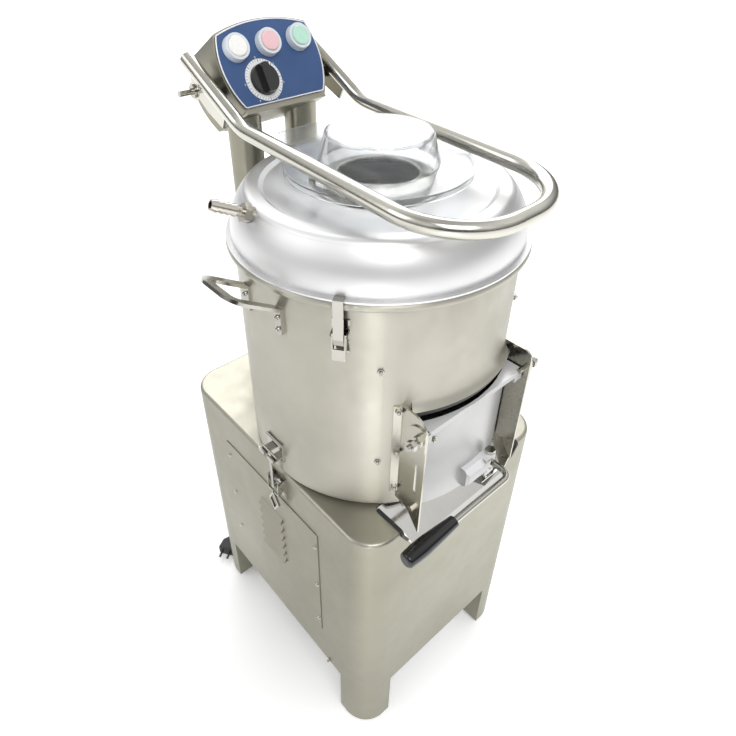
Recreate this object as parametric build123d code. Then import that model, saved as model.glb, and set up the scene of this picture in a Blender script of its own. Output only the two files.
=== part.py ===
from build123d import *
from math import acos, asin, atan2, cos, degrees, hypot, pi, radians, sin, sqrt, tan
import os

# Commercial potato peeler: an abrasive drum on a sheet-steel base, with a lid, a
# discharge door and a control head on two columns. Millimetres, +Z up, the door at
# -Y, the control head at +Y. Sizes are measured from the drum's axis and the floor.

# Clearances and cuts
overrun = 3.0
seat_gap = 0.2
swing_gap = 0.5
running_gap = 0.05

# Base cabinet
cabinet_side_step = 1.5
cabinet_front_step = 8.0
cabinet_back_step = 88.0
cabinet_corner = 50.0
cabinet_bottom = 135.0
cabinet_top = 576.0
cabinet_sheet = 2.0
cabinet_edge_round = 6.0

# Legs and foot pads
leg_width = 66.0
leg_wall = 3.0
leg_tongue = 30.0
foot_height = 14.0
foot_taper = 35.0

# Louvred service panel on the left wall
panel_sheet = 1.6
panel_front = 93.0
panel_back = 175.0
panel_lift = 89.0
panel_top_gap = 71.0
panel_margin = 12.0
panel_corner = 4.0
louvre_count = 6
louvre_length = 65.0
louvre_rise = 6.5
louvre_height = 11.0
louvre_skin = 1.2
louvre_front = 4.0
louvre_lowest_gap = 106.0
louvre_highest_gap = 63.0
panel_screw_inset = 6.0
panel_screw_end_inset = 35.0
panel_screw_rows = 3
screw_head_radius = 4.0
screw_head_height = 2.6
screw_shank_radius = 2.0
screw_length = 9.0

# Drive below the drum
shaft_radius = 12.5
housing_radius = 36.0
housing_drop = 126.0
housing_spigot = 6.0
housing_lip = 12.0
housing_lip_bore = 20.0
housing_flange_radius = 62.0
housing_flange = 8.0
housing_bolt_circle = 49.0
housing_bolt_count = 4
bearing_radius = 26.0
bearing_width = 15.0
bearing_inset = 4.0
seal_radius = 28.0
seal_height = 6.0
pulley_height = 20.0
pulley_drop = 34.0
driven_radius = 76.0
motor_pulley_radius = 28.0
groove_depth = 9.0
groove_width = 13.0
groove_floor = 7.0
belt_gap = 0.5
motor_distance = 150.0
motor_radius = 58.0
motor_height = 150.0
motor_shaft_radius = 9.5
motor_fin_count = 16
motor_fin_depth = 7.0
motor_fin_width = 4.0
motor_boss_radius = 40.0
motor_top_gap = 22.0
shelf_sheet = 4.0
shelf_front = 70.0
shelf_leg_gap = 2.0
shelf_flange = 24.0
drain_radius = 24.0
drain_wall = 2.0
drain_side_share = 0.6
drain_y = 70.0
drain_drop = 76.0
drain_reach = 22.0

# Discharge chute
chute_side_gap = 20.5
chute_taper = 24.0
chute_reach = 56.0
chute_depth = 52.0
chute_sheet = 1.6
chute_lip = 9.0
chute_lip_drop = 7.0
trim_radius = 2.6
trim_overlap = 5.0
ledge_width = 38.0
ledge_front_step = 7.5
ledge_back_step = 5.0
ledge_sheet = 2.0
ledge_drop = 1.0

# Drum
drum_radius = 200.0
drum_sheet = 2.5
drum_height = 365.0
drum_bottom_round = 14.0
rim_bead = 6.0
rim_overhang = 11.0
liner_thickness = 4.0
liner_lift = 32.0
liner_top_gap = 15.0
disc_gap = 10.0
disc_hub_gap = 3.5
disc_thickness = 10.0
disc_hub_radius = 32.0
disc_hub_drop = 6.0
disc_wave_count = 3
disc_wave_radius = 60.0
disc_wave_rise = 12.0
disc_cap_radius = 18.0
disc_cap_height = 8.0
bolt_head_radius = 4.5
bolt_head_height = 3.0
bolt_shank_radius = 2.5
liner_bolt_angle = 41.0
liner_bolt_lift = 45.0
liner_bolt_drop = 86.0

# Discharge opening, its seal and flared lip
opening_angle = 28.0
opening_lift = 14.0
opening_height = 172.0
seal_side_gap = 1.5
seal_side_thickness = 3.8
seal_top_thickness = 5.0
seal_top_height = 10.0
seal_sill = 5.0
lip_angle = 29.0
lip_reach = 9.0
lip_height = 16.0
lip_sheet = 2.5

# Discharge door
door_overlap = 10.1
door_gap = 0.3
door_sheet = 4.4
door_sill_drop = 8.0
door_pivot_reach = 7.0
door_pivot_drop = 12.0
door_bead = 10.0
door_bead_middle = 3.0
door_roof = 9.0
door_lug_length = 16.0
door_pin_radius = 4.0
door_pin_depth = 9.0
boss_left = 14.0
boss_right = 33.0
boss_lift = 8.0
boss_height = 34.0
boss_reach = 24.0
boss_chamfer = 8.0
ear_thickness = 6.0
ear_radius = 9.0

# Door handle
latch_x = 44.0
latch_reach = 16.0
latch_pin_radius = 4.0
hub_radius = 8.5
rod_radius = 5.0
rod_bend = 14.0
rod_reach = 40.0
grip_inner_end = -82.0
grip_outer_end = -178.0
grip_neck_radius = 9.0
grip_belly_radius = 13.0
grip_belly_share = 0.62
grip_end_radius = 11.5
grip_end_round = 5.0
grip_insert_share = 0.8
cam_thickness = 4.5
cam_drop = 5.5
cam_reach = 17.0
cam_width = 9.0
nut_radius = 8.0
nut_height = 6.0

# Door brackets
bracket_plate = 3.0
bracket_gap = 2.5
bracket_top_step = 20.0
bracket_lift = 40.0
bracket_tip_drop = 13.0
bracket_reach = 16.0
bracket_tip_depth = 24.0
bracket_tip_rise = 33.0
bracket_round_left = 26.0
bracket_round_right = 14.0
bracket_flange_width = 9.1
bracket_screw_step = 2.8
bracket_flange = 3.0
bracket_disc_radius = 21.0
bracket_disc = 2.5
bracket_slot_width = 4.0
bracket_slot_lift = 24.0
bracket_slot_height = 58.0
bracket_slot_inset = 13.0
bracket_bolt_drop = 6.0
bracket_screw_inset = 9.0
pivot_bolt_reach = 24.0

# Side handles of the drum
handle_half_span = 36.0
handle_reach = 59.0
handle_rise = 35.0
handle_width = 14.0
handle_thickness = 4.5
handle_bend = 18.0
lug_bottom_drop = 75.0
lug_top_drop = 35.0
rivet_inset = 9.0
rivet_top_inset = 13.0
rivet_head_radius = 3.6
rivet_head_height = 2.0
rivet_shank_radius = 2.4

# Lid
lid_sheet = 2.5
lid_flange_step = 10.0
lid_skirt_inset = 4.5
lid_skirt_drop = 8.0
lid_foot_step = 3.0
lid_bulge_inset = 2.5
lid_bulge_rise = 36.0
lid_shoulder_inset = 17.0
lid_shoulder_rise = 59.0
lid_land_inset = 28.0
lid_land_rise = 65.5
lid_step_inset = 40.0
lid_plateau_inset = 46.0
lid_plateau_rise = 61.0
collar_radius = 78.0
collar_wall = 2.0
collar_flange = 12.0
collar_flange_sheet = 2.0
collar_bead = 2.4
collar_rise = 9.0
throat_radius = 56.0
throat_rise = 13.0

# Clear feed cover
cover_sheet = 3.0
cover_brim_radius = 126.0
cover_lip_drop = 6.0
crown_foot_radius = 81.0
crown_top_radius = 70.5
crown_height = 41.0
crown_round = 5.0
tongue_gap = 59.0
tongue_half_width = 34.0
tongue_root_half = 72.0
tongue_root_y = 104.0

# Water inlet
nozzle_bearing = 10.7
nozzle_lift = 26.0
nozzle_inset = 16.0
nozzle_rise = 57.0
nozzle_shank = 9.5
nozzle_inner_length = 9.0
nozzle_hex = 12.5
nozzle_hex_height = 9.0
nozzle_hex_offset = 4.0
nozzle_neck = 6.6
nozzle_barb = 8.4
nozzle_barb_count = 4
nozzle_barb_pitch = 8.0
nozzle_neck_length = 10.0
nozzle_bore = 4.6

# Control head
column_half_spacing = 52.9
column_gap = 40.0
column_radius = 26.0
column_wall = 2.0
column_flange_radius = 36.0
column_flange = 5.0
head_tilt = 30.0
head_overhang = 36.0
head_lift = 130.0
fascia_foot_half = 73.0
fascia_belly_half = 89.0
fascia_belly_height = 52.0
fascia_top_half = 80.0
fascia_corner_height = 104.0
fascia_top_height = 117.0
fascia_thickness = 2.5
fascia_inset = 3.0
fascia_corner_round = 4.0
head_depth = 96.0
head_sheet = 2.0
head_chin = 7.0
fascia_chin = 4.5
saddle_half_width = 72.0
saddle_thickness = 4.0
saddle_depth = 82.0

# Buttons and timer
button_spacing = 55.0
button_height_on_panel = 80.0
button_ring_radius = 18.5
button_ring_foot = 19.5
button_ring_height = 10.5
button_bore = 14.6
button_cap_gap = 0.4
button_cap_rise = 2.0
button_travel = 3.5
button_dome = 1.2
switch_block_depth = 34.0
switch_block_radius = 13.0
switch_stem_radius = 6.0
dial_x = -26.5
dial_height = 31.0
dial_radius = 30.0
dial_thickness = 1.4
knob_radius = 22.5
knob_skirt = 6.0
knob_height = 15.0
knob_bar_half = 6.5
knob_pointer = 1.0
timer_stem_radius = 3.0

# Guard bow
bow_radius = 11.0
bow_half_width = 108.0
bow_reach = 30.8
bow_lift = 94.0
bow_tilt = 3.6
bow_nose_radius = 93.0
bow_bend_gap = 84.8
bow_tail = 47.7
bow_rise = 27.8
bow_bend_radius = 85.0
bow_ear = 4.0
bow_pivot_along = 120.0
bow_pivot_drop = 32.0
bow_ear_radius = 13.0
bow_ear_start = 40.0
bow_ear_strip = 32.0
bow_pin_radius = 6.0
bow_bush_radius = 10.0
bow_washer_radius = 9.5
bow_washer = 3.0
bow_pin_tail_radius = 4.5
bow_pin_tail = 24.0
bow_stop_radius = 7.0
bow_stop_along = 88.0
bow_stop_inset = 3.0
lug_inset = 4.0
lug_y = 9.0
lug_height = 6.0
lug_stud_radius = 2.5
lug_nut_radius = 4.8
lug_nut_height = 4.0
lug_stud_drop = 6.0

# Lid latches
latch_angles = (-55.0, 125.0)
latch_base_half = 11.0
latch_base_plate = 2.0
latch_base_drop = 73.0
latch_base_top_drop = 25.0
latch_cheek = 1.5
latch_pivot_drop = 44.0
latch_pivot_reach = 8.5
latch_bail_drop = 11.0
latch_bail_reach = 9.0
latch_pin = 1.6
latch_lever_half = 8.6
latch_tail_drop = 35.0
latch_strap_half = 6.4
latch_strap = 1.8
latch_strap_reach = 12.5
latch_hook_depth = 9.0
latch_hook_gap = 0.5
latch_eye = 3.6

# Draw latches between drum and base
draw_base_half = 18.0
draw_base_plate = 2.0
draw_base_drop = 54.0
draw_base_top_drop = 6.0
draw_cheek = 1.8
draw_pivot_drop = 16.0
draw_pivot_reach = 9.5
draw_bail_drop = 12.0
draw_pin = 2.0
draw_lever_half = 14.5
draw_lever_drop = 24.0
draw_lever_bridge = 3.0
draw_loop_half = 14.0
draw_loop_height = 46.0
draw_loop_wire = 1.8
draw_rod = 2.4
draw_eye = 4.6
draw_eye_half = 4.0
draw_bar_half = 20.0
draw_bar_lift = 52.0
draw_keeper_half = 19.0
draw_keeper_plate = 2.5
draw_keeper_drop = 16.0
draw_keeper_gap = 2.8
draw_keeper_lip = 5.0
draw_keeper_rise = 18.0
draw_keeper_roll = 2.8
draw_slot_half = 4.5

# Mains cord
cord_diameter = 8.0
gland_x = -70.0
gland_lift = 65.0
gland_radius = 11.0
gland_body = 12.0
gland_nose = 26.0
gland_nose_radius = 6.5
coil_x = 55.0
coil_gap = 92.0
coil_mid_radius = 42.9
coil_turns = 2.0
coil_pitch = 8.7
coil_lead = 8.0
cord_drop_steps = (
    (0.0, 0.0, 0.0),
    (0.0, 34.0, 0.0),
    (1.0, 66.0, -20.0),
    (4.0, 84.0, -60.0),
    (8.0, 80.0, -105.0),
    (15.0, 62.0, -147.0),
    (33.0, 38.0, -182.0),
)
cord_lead_in = 35.0
cord_lead_out = 42.0
cord_rise_steps = ((132.0, -11.0), (75.0, -10.0), (38.0, 0.0))
plug_tip_step = 8.5
plug_tip_inset = 2.0
plug_heading = 215.0
plug_height = 15.0
plug_width = 34.0
plug_face = 38.0
plug_tail_radius = 7.5
plug_tail_end = 5.0
plug_round = 7.0
plug_shoulder_share = 0.6
plug_pin_radius = 2.4
plug_pin_length = 19.0
plug_pin_half_spacing = 9.5
plug_body_length = 36.0
plug_tail_length = 22.0

# Places that follow from the sizes above
cabinet_front = drum_radius + cabinet_front_step
cabinet_back = drum_radius + cabinet_back_step
cabinet_half_width = drum_radius - cabinet_side_step
drum_top = cabinet_top + drum_height
panel_bottom = cabinet_bottom + panel_lift
panel_top = cabinet_top - panel_top_gap
louvre_lowest = panel_bottom + louvre_lowest_gap
louvre_highest = panel_top - louvre_highest_gap
housing_bottom = cabinet_top - housing_drop
pulley_centre = housing_bottom - pulley_drop
shelf_height = pulley_centre - motor_top_gap - motor_height - shelf_sheet
shelf_back = cabinet_back - leg_width - shelf_leg_gap
drain_x = drain_side_share * cabinet_half_width
drain_height = cabinet_top - drain_drop
door_half_width = drum_radius * sin(radians(opening_angle)) + door_overlap
bracket_inner = door_half_width + bracket_gap
bracket_outer = bracket_inner + bracket_plate
bracket_flange_angle = degrees(asin(bracket_outer / drum_radius) + bracket_flange_width / drum_radius)
seal_angle = degrees(asin((bracket_inner - seal_side_gap) / (drum_radius + seal_side_thickness)))
chute_top_half = bracket_outer + chute_side_gap
chute_bottom_half = chute_top_half - chute_taper
chute_back = cabinet_front - chute_reach
chute_low = cabinet_top - chute_depth
trim_back = chute_back + trim_overlap
disc_radius = drum_radius - disc_gap
housing_top = cabinet_top + drum_sheet + housing_spigot
disc_bottom = housing_top + seal_height + disc_hub_drop + disc_hub_gap
liner_bottom = disc_bottom + liner_lift
liner_top = drum_top - liner_top_gap
liner_bolt_low = liner_bottom + liner_bolt_lift
liner_bolt_high = liner_top - liner_bolt_drop
opening_bottom = cabinet_top + opening_lift
opening_top = opening_bottom + opening_height
door_bottom = opening_bottom - door_sill_drop
door_pivot_y = drum_radius + door_pivot_reach
door_pivot_z = opening_top - door_pivot_drop
boss_bottom = door_bottom + boss_lift
boss_front = drum_radius + boss_reach
boss_top = boss_bottom + boss_height
latch_y = drum_radius + latch_reach
rod_front = latch_y + rod_reach
cam_bottom = door_bottom - cam_drop
ledge_front = latch_y + ledge_front_step
ledge_back = latch_y - ledge_back_step
bracket_top = opening_top + bracket_top_step
bracket_low = cabinet_top + bracket_lift
bracket_tip = cabinet_top - bracket_tip_drop
bracket_front = drum_radius + bracket_reach
bracket_tip_back = bracket_front - bracket_tip_depth
bracket_tip_shoulder = bracket_tip + bracket_tip_rise
bracket_slot_low = bracket_low + bracket_slot_lift
bracket_slot_high = bracket_slot_low + bracket_slot_height
bracket_slot_y = bracket_front - bracket_slot_inset
bracket_bolt_z = bracket_low - bracket_bolt_drop
lug_bottom = drum_top - lug_bottom_drop
lug_top = drum_top - lug_top_drop
rivet_low = lug_bottom + rivet_inset
rivet_high = lug_top - rivet_top_inset
lid_flange_radius = drum_radius + lid_flange_step
lid_skirt_radius = drum_radius - lid_skirt_inset
lid_foot_radius = drum_radius + lid_foot_step
lid_bulge_radius = drum_radius - lid_bulge_inset
lid_shoulder_radius = drum_radius - lid_shoulder_inset
lid_land_radius = drum_radius - lid_land_inset
lid_step_radius = drum_radius - lid_step_inset
lid_plateau_radius = drum_radius - lid_plateau_inset
nozzle_radius_out = drum_radius - nozzle_inset
column_y = drum_radius + column_gap
head_foot_y = column_y - head_overhang
head_foot_z = drum_top + head_lift
bow_front_y = drum_radius + bow_reach
bow_front_z = drum_top + bow_lift
bow_bend_y = column_y - bow_bend_gap
bow_end_y = column_y + bow_tail
tongue_reach = column_y - tongue_gap
latch_base_bottom = drum_top - latch_base_drop
latch_base_top = drum_top - latch_base_top_drop
latch_pivot_z = drum_top - latch_pivot_drop
latch_lever_tail = latch_pivot_z - latch_tail_drop
draw_base_bottom = cabinet_top - draw_base_drop
draw_base_top = cabinet_top - draw_base_top_drop
draw_pivot_z = cabinet_top - draw_pivot_drop
draw_lever_foot = draw_pivot_z - draw_lever_drop
draw_loop_bottom = draw_lever_foot - draw_loop_height
draw_bar_z = cabinet_top + draw_bar_lift
draw_keeper_bottom = draw_bar_z - draw_keeper_drop
gland_z = cabinet_bottom + gland_lift
coil_y = cabinet_back + coil_gap
plug_tip = (-cabinet_half_width - plug_tip_step, cabinet_back - plug_tip_inset)

mirror_x = (-1, 1)
pieces = {}


def keep(name, shape):
    """Stores one named sub-part."""
    pieces[name] = shape
    return shape


def block(low, high):
    """A box between two corners."""
    size = [b - a for a, b in zip(low, high)]
    middle = [(a + b) / 2 for a, b in zip(low, high)]
    return Pos(*middle) * Box(*size)


def pin(start, direction, radius, length):
    """A round bar from a point along a direction."""
    return extrude(Plane(origin=start, z_dir=direction) * Circle(radius), length)


def ring(outer, inner, low, high):
    """A tube about the drum's axis."""
    wall = Circle(outer) - Circle(inner) if inner else Circle(outer)
    return Pos(0, 0, low) * extrude(wall, high - low)


def turned(*points):
    """A solid of revolution about Z from radius and height pairs."""
    return revolve(Plane.XZ * Polygon(*points, align=None), Axis.Z)


def turned_about(origin, direction, *points):
    """A solid of revolution about any axis from radius and distance pairs."""
    return Plane(origin=origin, z_dir=direction).location * turned(*points)


def side_plate(points, start, end):
    """A plate across X whose outline is given in Y and Z."""
    plane = Plane(origin=(start, 0, 0), x_dir=(0, 1, 0), z_dir=(1, 0, 0))
    return extrude(plane * Polygon(*points, align=None), end - start, dir=(1, 0, 0))


def front_plate(points, start, end):
    """A plate across Y whose outline is given in X and Z."""
    plane = Plane(origin=(0, start, 0), x_dir=(1, 0, 0), z_dir=(0, -1, 0))
    return extrude(plane * Polygon(*points, align=None), end - start, dir=(0, 1, 0))


def sector(half_angle, outer, inner, low, high):
    """Part of a ring, centred on the door side."""
    profile = Plane.XZ * Polygon((inner, low), (outer, low), (outer, high), (inner, high), align=None)
    return Rot(0, 0, -90 - half_angle) * revolve(profile, Axis.Z, 2 * half_angle)


def around(angle, shape):
    """Turns a shape made at the door side to an angle about the drum's axis."""
    return Rot(0, 0, angle) * shape


def mirrored(shape):
    """The shape's mirror image across the YZ plane."""
    return mirror(shape, about=Plane.YZ)


def both_sides(shape):
    """A shape and its mirror image as separate solids."""
    return Compound(children=[*shape.solids(), *mirrored(shape).solids()])


def group(shapes):
    """Separate solids in one sub-part."""
    return Compound(children=[solid for shape in shapes for solid in shape.solids()])


# Base cabinet, legs and service panel

cabinet_middle = (cabinet_back - cabinet_front) / 2


def cabinet_outline(inset):
    """The cabinet's rounded outline, shrunk by an inset."""
    width = 2 * (cabinet_half_width - inset)
    depth = cabinet_front + cabinet_back - 2 * inset
    return Pos(0, cabinet_middle) * RectangleRounded(width, depth, cabinet_corner - inset)


def chute_cut(margin):
    """The scoop-shaped space of the chute, widened by a margin."""
    top = cabinet_top + overrun
    slope = (chute_top_half - chute_bottom_half) / (cabinet_top - chute_low)
    outline = [
        (-chute_bottom_half - margin, chute_low - margin),
        (chute_bottom_half + margin, chute_low - margin),
        (chute_top_half + overrun * slope + margin, top),
        (-chute_top_half - overrun * slope - margin, top),
    ]
    return front_plate(outline, -cabinet_front - overrun, -chute_back + margin)


def service_hole():
    """The opening in the left wall behind the service panel."""
    return block(
        (-cabinet_half_width - overrun, -panel_front + panel_margin, panel_bottom + panel_margin),
        (-cabinet_half_width + cabinet_sheet + overrun, panel_back - panel_margin, panel_top - panel_margin),
    )


def panel_screw_places():
    """Places of the panel screws in Y and Z."""
    step = (panel_top - panel_bottom - 2 * panel_screw_end_inset) / (panel_screw_rows - 1)
    rows = [panel_bottom + panel_screw_end_inset + i * step for i in range(panel_screw_rows)]
    return [(y, z) for y in (-panel_front + panel_screw_inset, panel_back - panel_screw_inset) for z in rows]


def screw_holes():
    """Bars that leave the panel screws' holes."""
    start = -cabinet_half_width - panel_sheet - overrun
    return [
        pin((start, y, z), (1, 0, 0), screw_shank_radius, screw_length + overrun + overrun)
        for y, z in panel_screw_places()
    ]


def cabinet_body(inset, extension):
    """The cabinet's rounded body, shrunk by an inset and extended downwards."""
    low = cabinet_bottom - extension
    body = extrude(Pos(0, 0, low) * cabinet_outline(inset), cabinet_top - inset - low)
    return fillet(body.edges().group_by(Axis.Z)[-1], cabinet_edge_round - inset)


def make_cabinet():
    shell = cabinet_body(0, 0) - cabinet_body(cabinet_sheet, overrun)
    shell -= chute_cut(chute_sheet)
    shell -= service_hole()
    shell -= ring(housing_radius + seat_gap, 0, cabinet_top - cabinet_sheet - overrun, cabinet_top + overrun)
    shell -= drain_bar(drain_radius + seat_gap)
    gland_hole = gland_radius - gland_nose_radius + cord_diameter / 2
    shell -= pin((gland_x, cabinet_back - cabinet_sheet - overrun, gland_z), (0, 1, 0), gland_hole, 3 * overrun)
    for hole in screw_holes():
        shell -= hole
    return shell


def corner_sections(inset, wall):
    """The four leg sections, as hollow corners of the cabinet's outline."""
    outer = cabinet_outline(inset)
    core = cabinet_outline(inset + wall)
    sections = []
    for side in mirror_x:
        for y in (-cabinet_front, cabinet_back):
            towards = 1 if y < 0 else -1
            corner = Pos(side * (cabinet_half_width - leg_width / 2), y + towards * leg_width / 2)
            window = corner * Rectangle(leg_width, leg_width)
            small = corner * Rectangle(leg_width - 2 * wall, leg_width - 2 * wall)
            sections.append((outer & window) - (core & small))
    return sections


def make_legs():
    legs = []
    lower = corner_sections(0, leg_wall)
    upper = corner_sections(cabinet_sheet, leg_wall - cabinet_sheet / 2)
    for low, high in zip(lower, upper):
        leg = extrude(Pos(0, 0, foot_height) * low, cabinet_bottom - foot_height)
        leg += extrude(Pos(0, 0, cabinet_bottom) * high, leg_tongue)
        legs.append(leg)
    return group(legs)


def make_feet():
    feet = []
    outline = cabinet_outline(0)
    for side in mirror_x:
        for y in (-cabinet_front, cabinet_back):
            towards = 1 if y < 0 else -1
            corner = Pos(side * (cabinet_half_width - leg_width / 2), y + towards * leg_width / 2)
            section = outline & (corner * Rectangle(leg_width, leg_width))
            feet.append(extrude(Pos(0, 0, foot_height) * section, foot_height, dir=(0, 0, -1), taper=foot_taper))
    return group(feet)


def louvre(z):
    """A pressed louvre hood and the hollow under it, at a height."""
    wall = -cabinet_half_width - panel_sheet
    low = z - louvre_height / 2
    high = z + louvre_height / 2
    back = louvre_front + louvre_length
    hood = front_plate([(wall, high), (wall - louvre_rise, low), (wall, low)], louvre_front, back)
    inside = wall + panel_sheet + overrun
    hollow = front_plate(
        [(inside, high - louvre_skin), (wall, high - 2 * louvre_skin), (wall - louvre_rise + louvre_skin, low),
         (wall - louvre_rise + louvre_skin, low - overrun), (wall, low - overrun), (wall, low), (inside, low)],
        louvre_front + louvre_skin, back - louvre_skin)
    return hood, hollow


def make_service_panel():
    plate = block(
        (-cabinet_half_width - panel_sheet, -panel_front, panel_bottom),
        (-cabinet_half_width, panel_back, panel_top),
    )
    plate = fillet(plate.edges().filter_by(Axis.X), panel_corner)
    step = (louvre_highest - louvre_lowest) / (louvre_count - 1)
    for i in range(louvre_count):
        hood, hollow = louvre(louvre_lowest + i * step)
        plate += hood
        plate -= hollow
    for hole in screw_holes():
        plate -= hole
    return plate


def make_panel_screws():
    wall = -cabinet_half_width - panel_sheet
    screws = []
    for y, z in panel_screw_places():
        head = turned_about(
            (wall, y, z), (-1, 0, 0),
            (0, 0), (screw_head_radius, 0), (screw_head_radius * cos(pi / 4), screw_head_height), (0, screw_head_height),
        )
        screws.append(head + pin((wall, y, z), (1, 0, 0), screw_shank_radius, screw_length))
    return group(screws)


# Discharge chute

def make_chute():
    shell = chute_cut(chute_sheet) - chute_cut(0)
    slope_drop = cabinet_top - cabinet_sheet - chute_low
    slope_run = cabinet_front - chute_back
    floor_outline = [
        (-chute_back, chute_low - chute_sheet - overrun),
        (-chute_back, chute_low + slope_drop),
        (-cabinet_front, chute_low),
        (-cabinet_front, chute_low - chute_sheet - overrun),
    ]
    wide = chute_top_half + overrun
    ramp = side_plate(floor_outline, -wide, wide) & chute_cut(0)
    under = Pos(0, chute_sheet * 2 / 3, -chute_sheet * 4 / 3) * side_plate(floor_outline, -wide, wide)
    ramp -= under
    cheeks = shell & cabinet_body(0, 0)
    back_wall = block(
        (-wide - overrun, -chute_back, chute_low - overrun),
        (wide + overrun, -chute_back + overrun, cabinet_top),
    )
    below = side_plate(
        [(-chute_back + overrun, chute_low - chute_sheet - overrun),
         (-chute_back + overrun, chute_low + slope_drop - chute_sheet),
         (-chute_back, chute_low + slope_drop - 2 * chute_sheet),
         (-cabinet_front + 2 * chute_sheet, chute_low - chute_sheet),
         (-cabinet_front + 2 * chute_sheet, chute_low - chute_sheet - overrun)],
        -wide - overrun, wide + overrun,
    )
    scoop = (cheeks - back_wall - below) + ramp
    lip_outline = [
        (-cabinet_front, chute_low),
        (-cabinet_front, chute_low - chute_sheet),
        (-cabinet_front - chute_lip, chute_low - chute_sheet - chute_lip_drop),
        (-cabinet_front - chute_lip, chute_low - chute_lip_drop),
    ]
    scoop += side_plate(lip_outline, -chute_bottom_half, chute_bottom_half)
    ledge_top = cam_bottom - ledge_drop
    ledge = block(
        (latch_x - ledge_width / 2, -ledge_front, ledge_top - ledge_sheet),
        (latch_x + ledge_width / 2, -ledge_back, ledge_top),
    )
    ledge += block(
        (latch_x + cam_width, -ledge_front, ledge_top - ledge_sheet),
        (latch_x + ledge_width / 2, -ledge_front + ledge_sheet, cam_bottom + cam_thickness + swing_gap),
    )
    web_back = chute_back + slope_run / 2
    web = side_plate(
        [(-ledge_front, ledge_top), (-ledge_back, ledge_top), (-web_back, chute_low + slope_drop / 2 - chute_sheet),
         (-cabinet_front, chute_low - chute_sheet / 2), (-ledge_front, ledge_top - ledge_sheet)],
        latch_x + ledge_width / 2 - ledge_sheet, latch_x + ledge_width / 2,
    )
    return scoop + ledge + web


def make_chute_trim():
    slope = (chute_top_half - chute_bottom_half) / (cabinet_top - chute_low)
    edge = chute_top_half + chute_sheet
    over = trim_radius / 2
    strip = block(
        (edge - over, -cabinet_front + cabinet_edge_round, cabinet_top),
        (edge + over + trim_radius, -trim_back, cabinet_top + trim_radius),
    )
    front_low = (cabinet_top + chute_low) / 2
    fall = [
        (edge - over, cabinet_top - cabinet_edge_round), (edge + over + trim_radius, cabinet_top - cabinet_edge_round),
        (edge + over + trim_radius - slope * (cabinet_top - front_low), front_low),
        (edge - over - slope * (cabinet_top - front_low), front_low),
    ]
    strip += front_plate(fall, -cabinet_front - trim_radius, -cabinet_front)
    bend = turned_about(
        (edge - over, -cabinet_front + cabinet_edge_round, cabinet_top - cabinet_edge_round), (1, 0, 0),
        (cabinet_edge_round, 0), (cabinet_edge_round + trim_radius, 0),
        (cabinet_edge_round + trim_radius, over + over + trim_radius), (cabinet_edge_round, over + over + trim_radius),
    )
    corner = block(
        (edge - over, -cabinet_front - overrun, cabinet_top - cabinet_edge_round),
        (edge + over + trim_radius, -cabinet_front + cabinet_edge_round, cabinet_top + overrun),
    )
    return both_sides(strip + (bend & corner))


# Drive

door_inner = drum_radius + seal_side_thickness + door_gap
door_outer = door_inner + door_sheet


def drain_bar(radius):
    """The route of the drain, down from the drum and out at the back."""
    down = pin((drain_x, drain_y, cabinet_top + drum_sheet + overrun), (0, 0, -1), radius,
               cabinet_top + drum_sheet + overrun - drain_height)
    elbow = Pos(drain_x, drain_y, drain_height) * Sphere(radius)
    out = pin((drain_x, drain_y, drain_height), (0, 1, 0), radius, cabinet_back + drain_reach - drain_y)
    return down + elbow + out


def make_drain():
    top = block(
        (drain_x - drain_radius - overrun, drain_y - drain_radius - overrun, cabinet_top),
        (drain_x + drain_radius + overrun, drain_y + drain_radius + overrun, cabinet_top + 3 * overrun),
    )
    bore = drain_bar(drain_radius - drain_wall)
    bore += pin((drain_x, cabinet_back, drain_height), (0, 1, 0), drain_radius - drain_wall, drain_reach + overrun)
    collar = pin((drain_x, cabinet_back, drain_height), (0, 1, 0), drain_radius + drain_wall, drain_wall)
    return (drain_bar(drain_radius) + collar) - bore - top


def make_housing():
    under = cabinet_top - cabinet_sheet
    body = turned(
        (bearing_radius, housing_bottom), (housing_radius, housing_bottom),
        (housing_radius, under - housing_flange), (housing_flange_radius, under - housing_flange),
        (housing_flange_radius, under), (housing_radius, under), (housing_radius, housing_top),
        (housing_lip_bore, housing_top), (housing_lip_bore, housing_top - housing_lip),
        (bearing_radius, housing_top - housing_lip),
    )
    for i in range(housing_bolt_count):
        angle = 2 * pi * (i + 0.5) / housing_bolt_count
        place = (housing_bolt_circle * cos(angle), housing_bolt_circle * sin(angle), under - housing_flange)
        body += extrude(Plane(origin=place, z_dir=(0, 0, -1)) * RegularPolygon(bolt_head_radius, 6), bolt_head_height)
    return body


def bearing(low):
    """A ball bearing as a ring."""
    return ring(bearing_radius, shaft_radius + running_gap, low, low + bearing_width)


def vee_pulley(radius, bore):
    """A grooved pulley about Z."""
    half = pulley_height / 2
    profile = [
        (bore, -half), (radius, -half), (radius, -groove_width / 2), (radius - groove_depth, -groove_floor / 2),
        (radius - groove_depth, groove_floor / 2), (radius, groove_width / 2), (radius, half), (bore, half),
    ]
    return Pos(0, 0, pulley_centre) * turned(*profile)


def make_driven_pulley():
    wheel = vee_pulley(driven_radius, shaft_radius)
    middle = (driven_radius - groove_depth + shaft_radius) / 2
    hole = (driven_radius - groove_depth - shaft_radius) / 4
    low = pulley_centre - pulley_height / 2 - overrun
    for i in range(housing_bolt_count):
        angle = 2 * pi * i / housing_bolt_count
        wheel -= pin((middle * cos(angle), middle * sin(angle), low), (0, 0, 1), hole, pulley_height + 2 * overrun)
    return wheel


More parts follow.
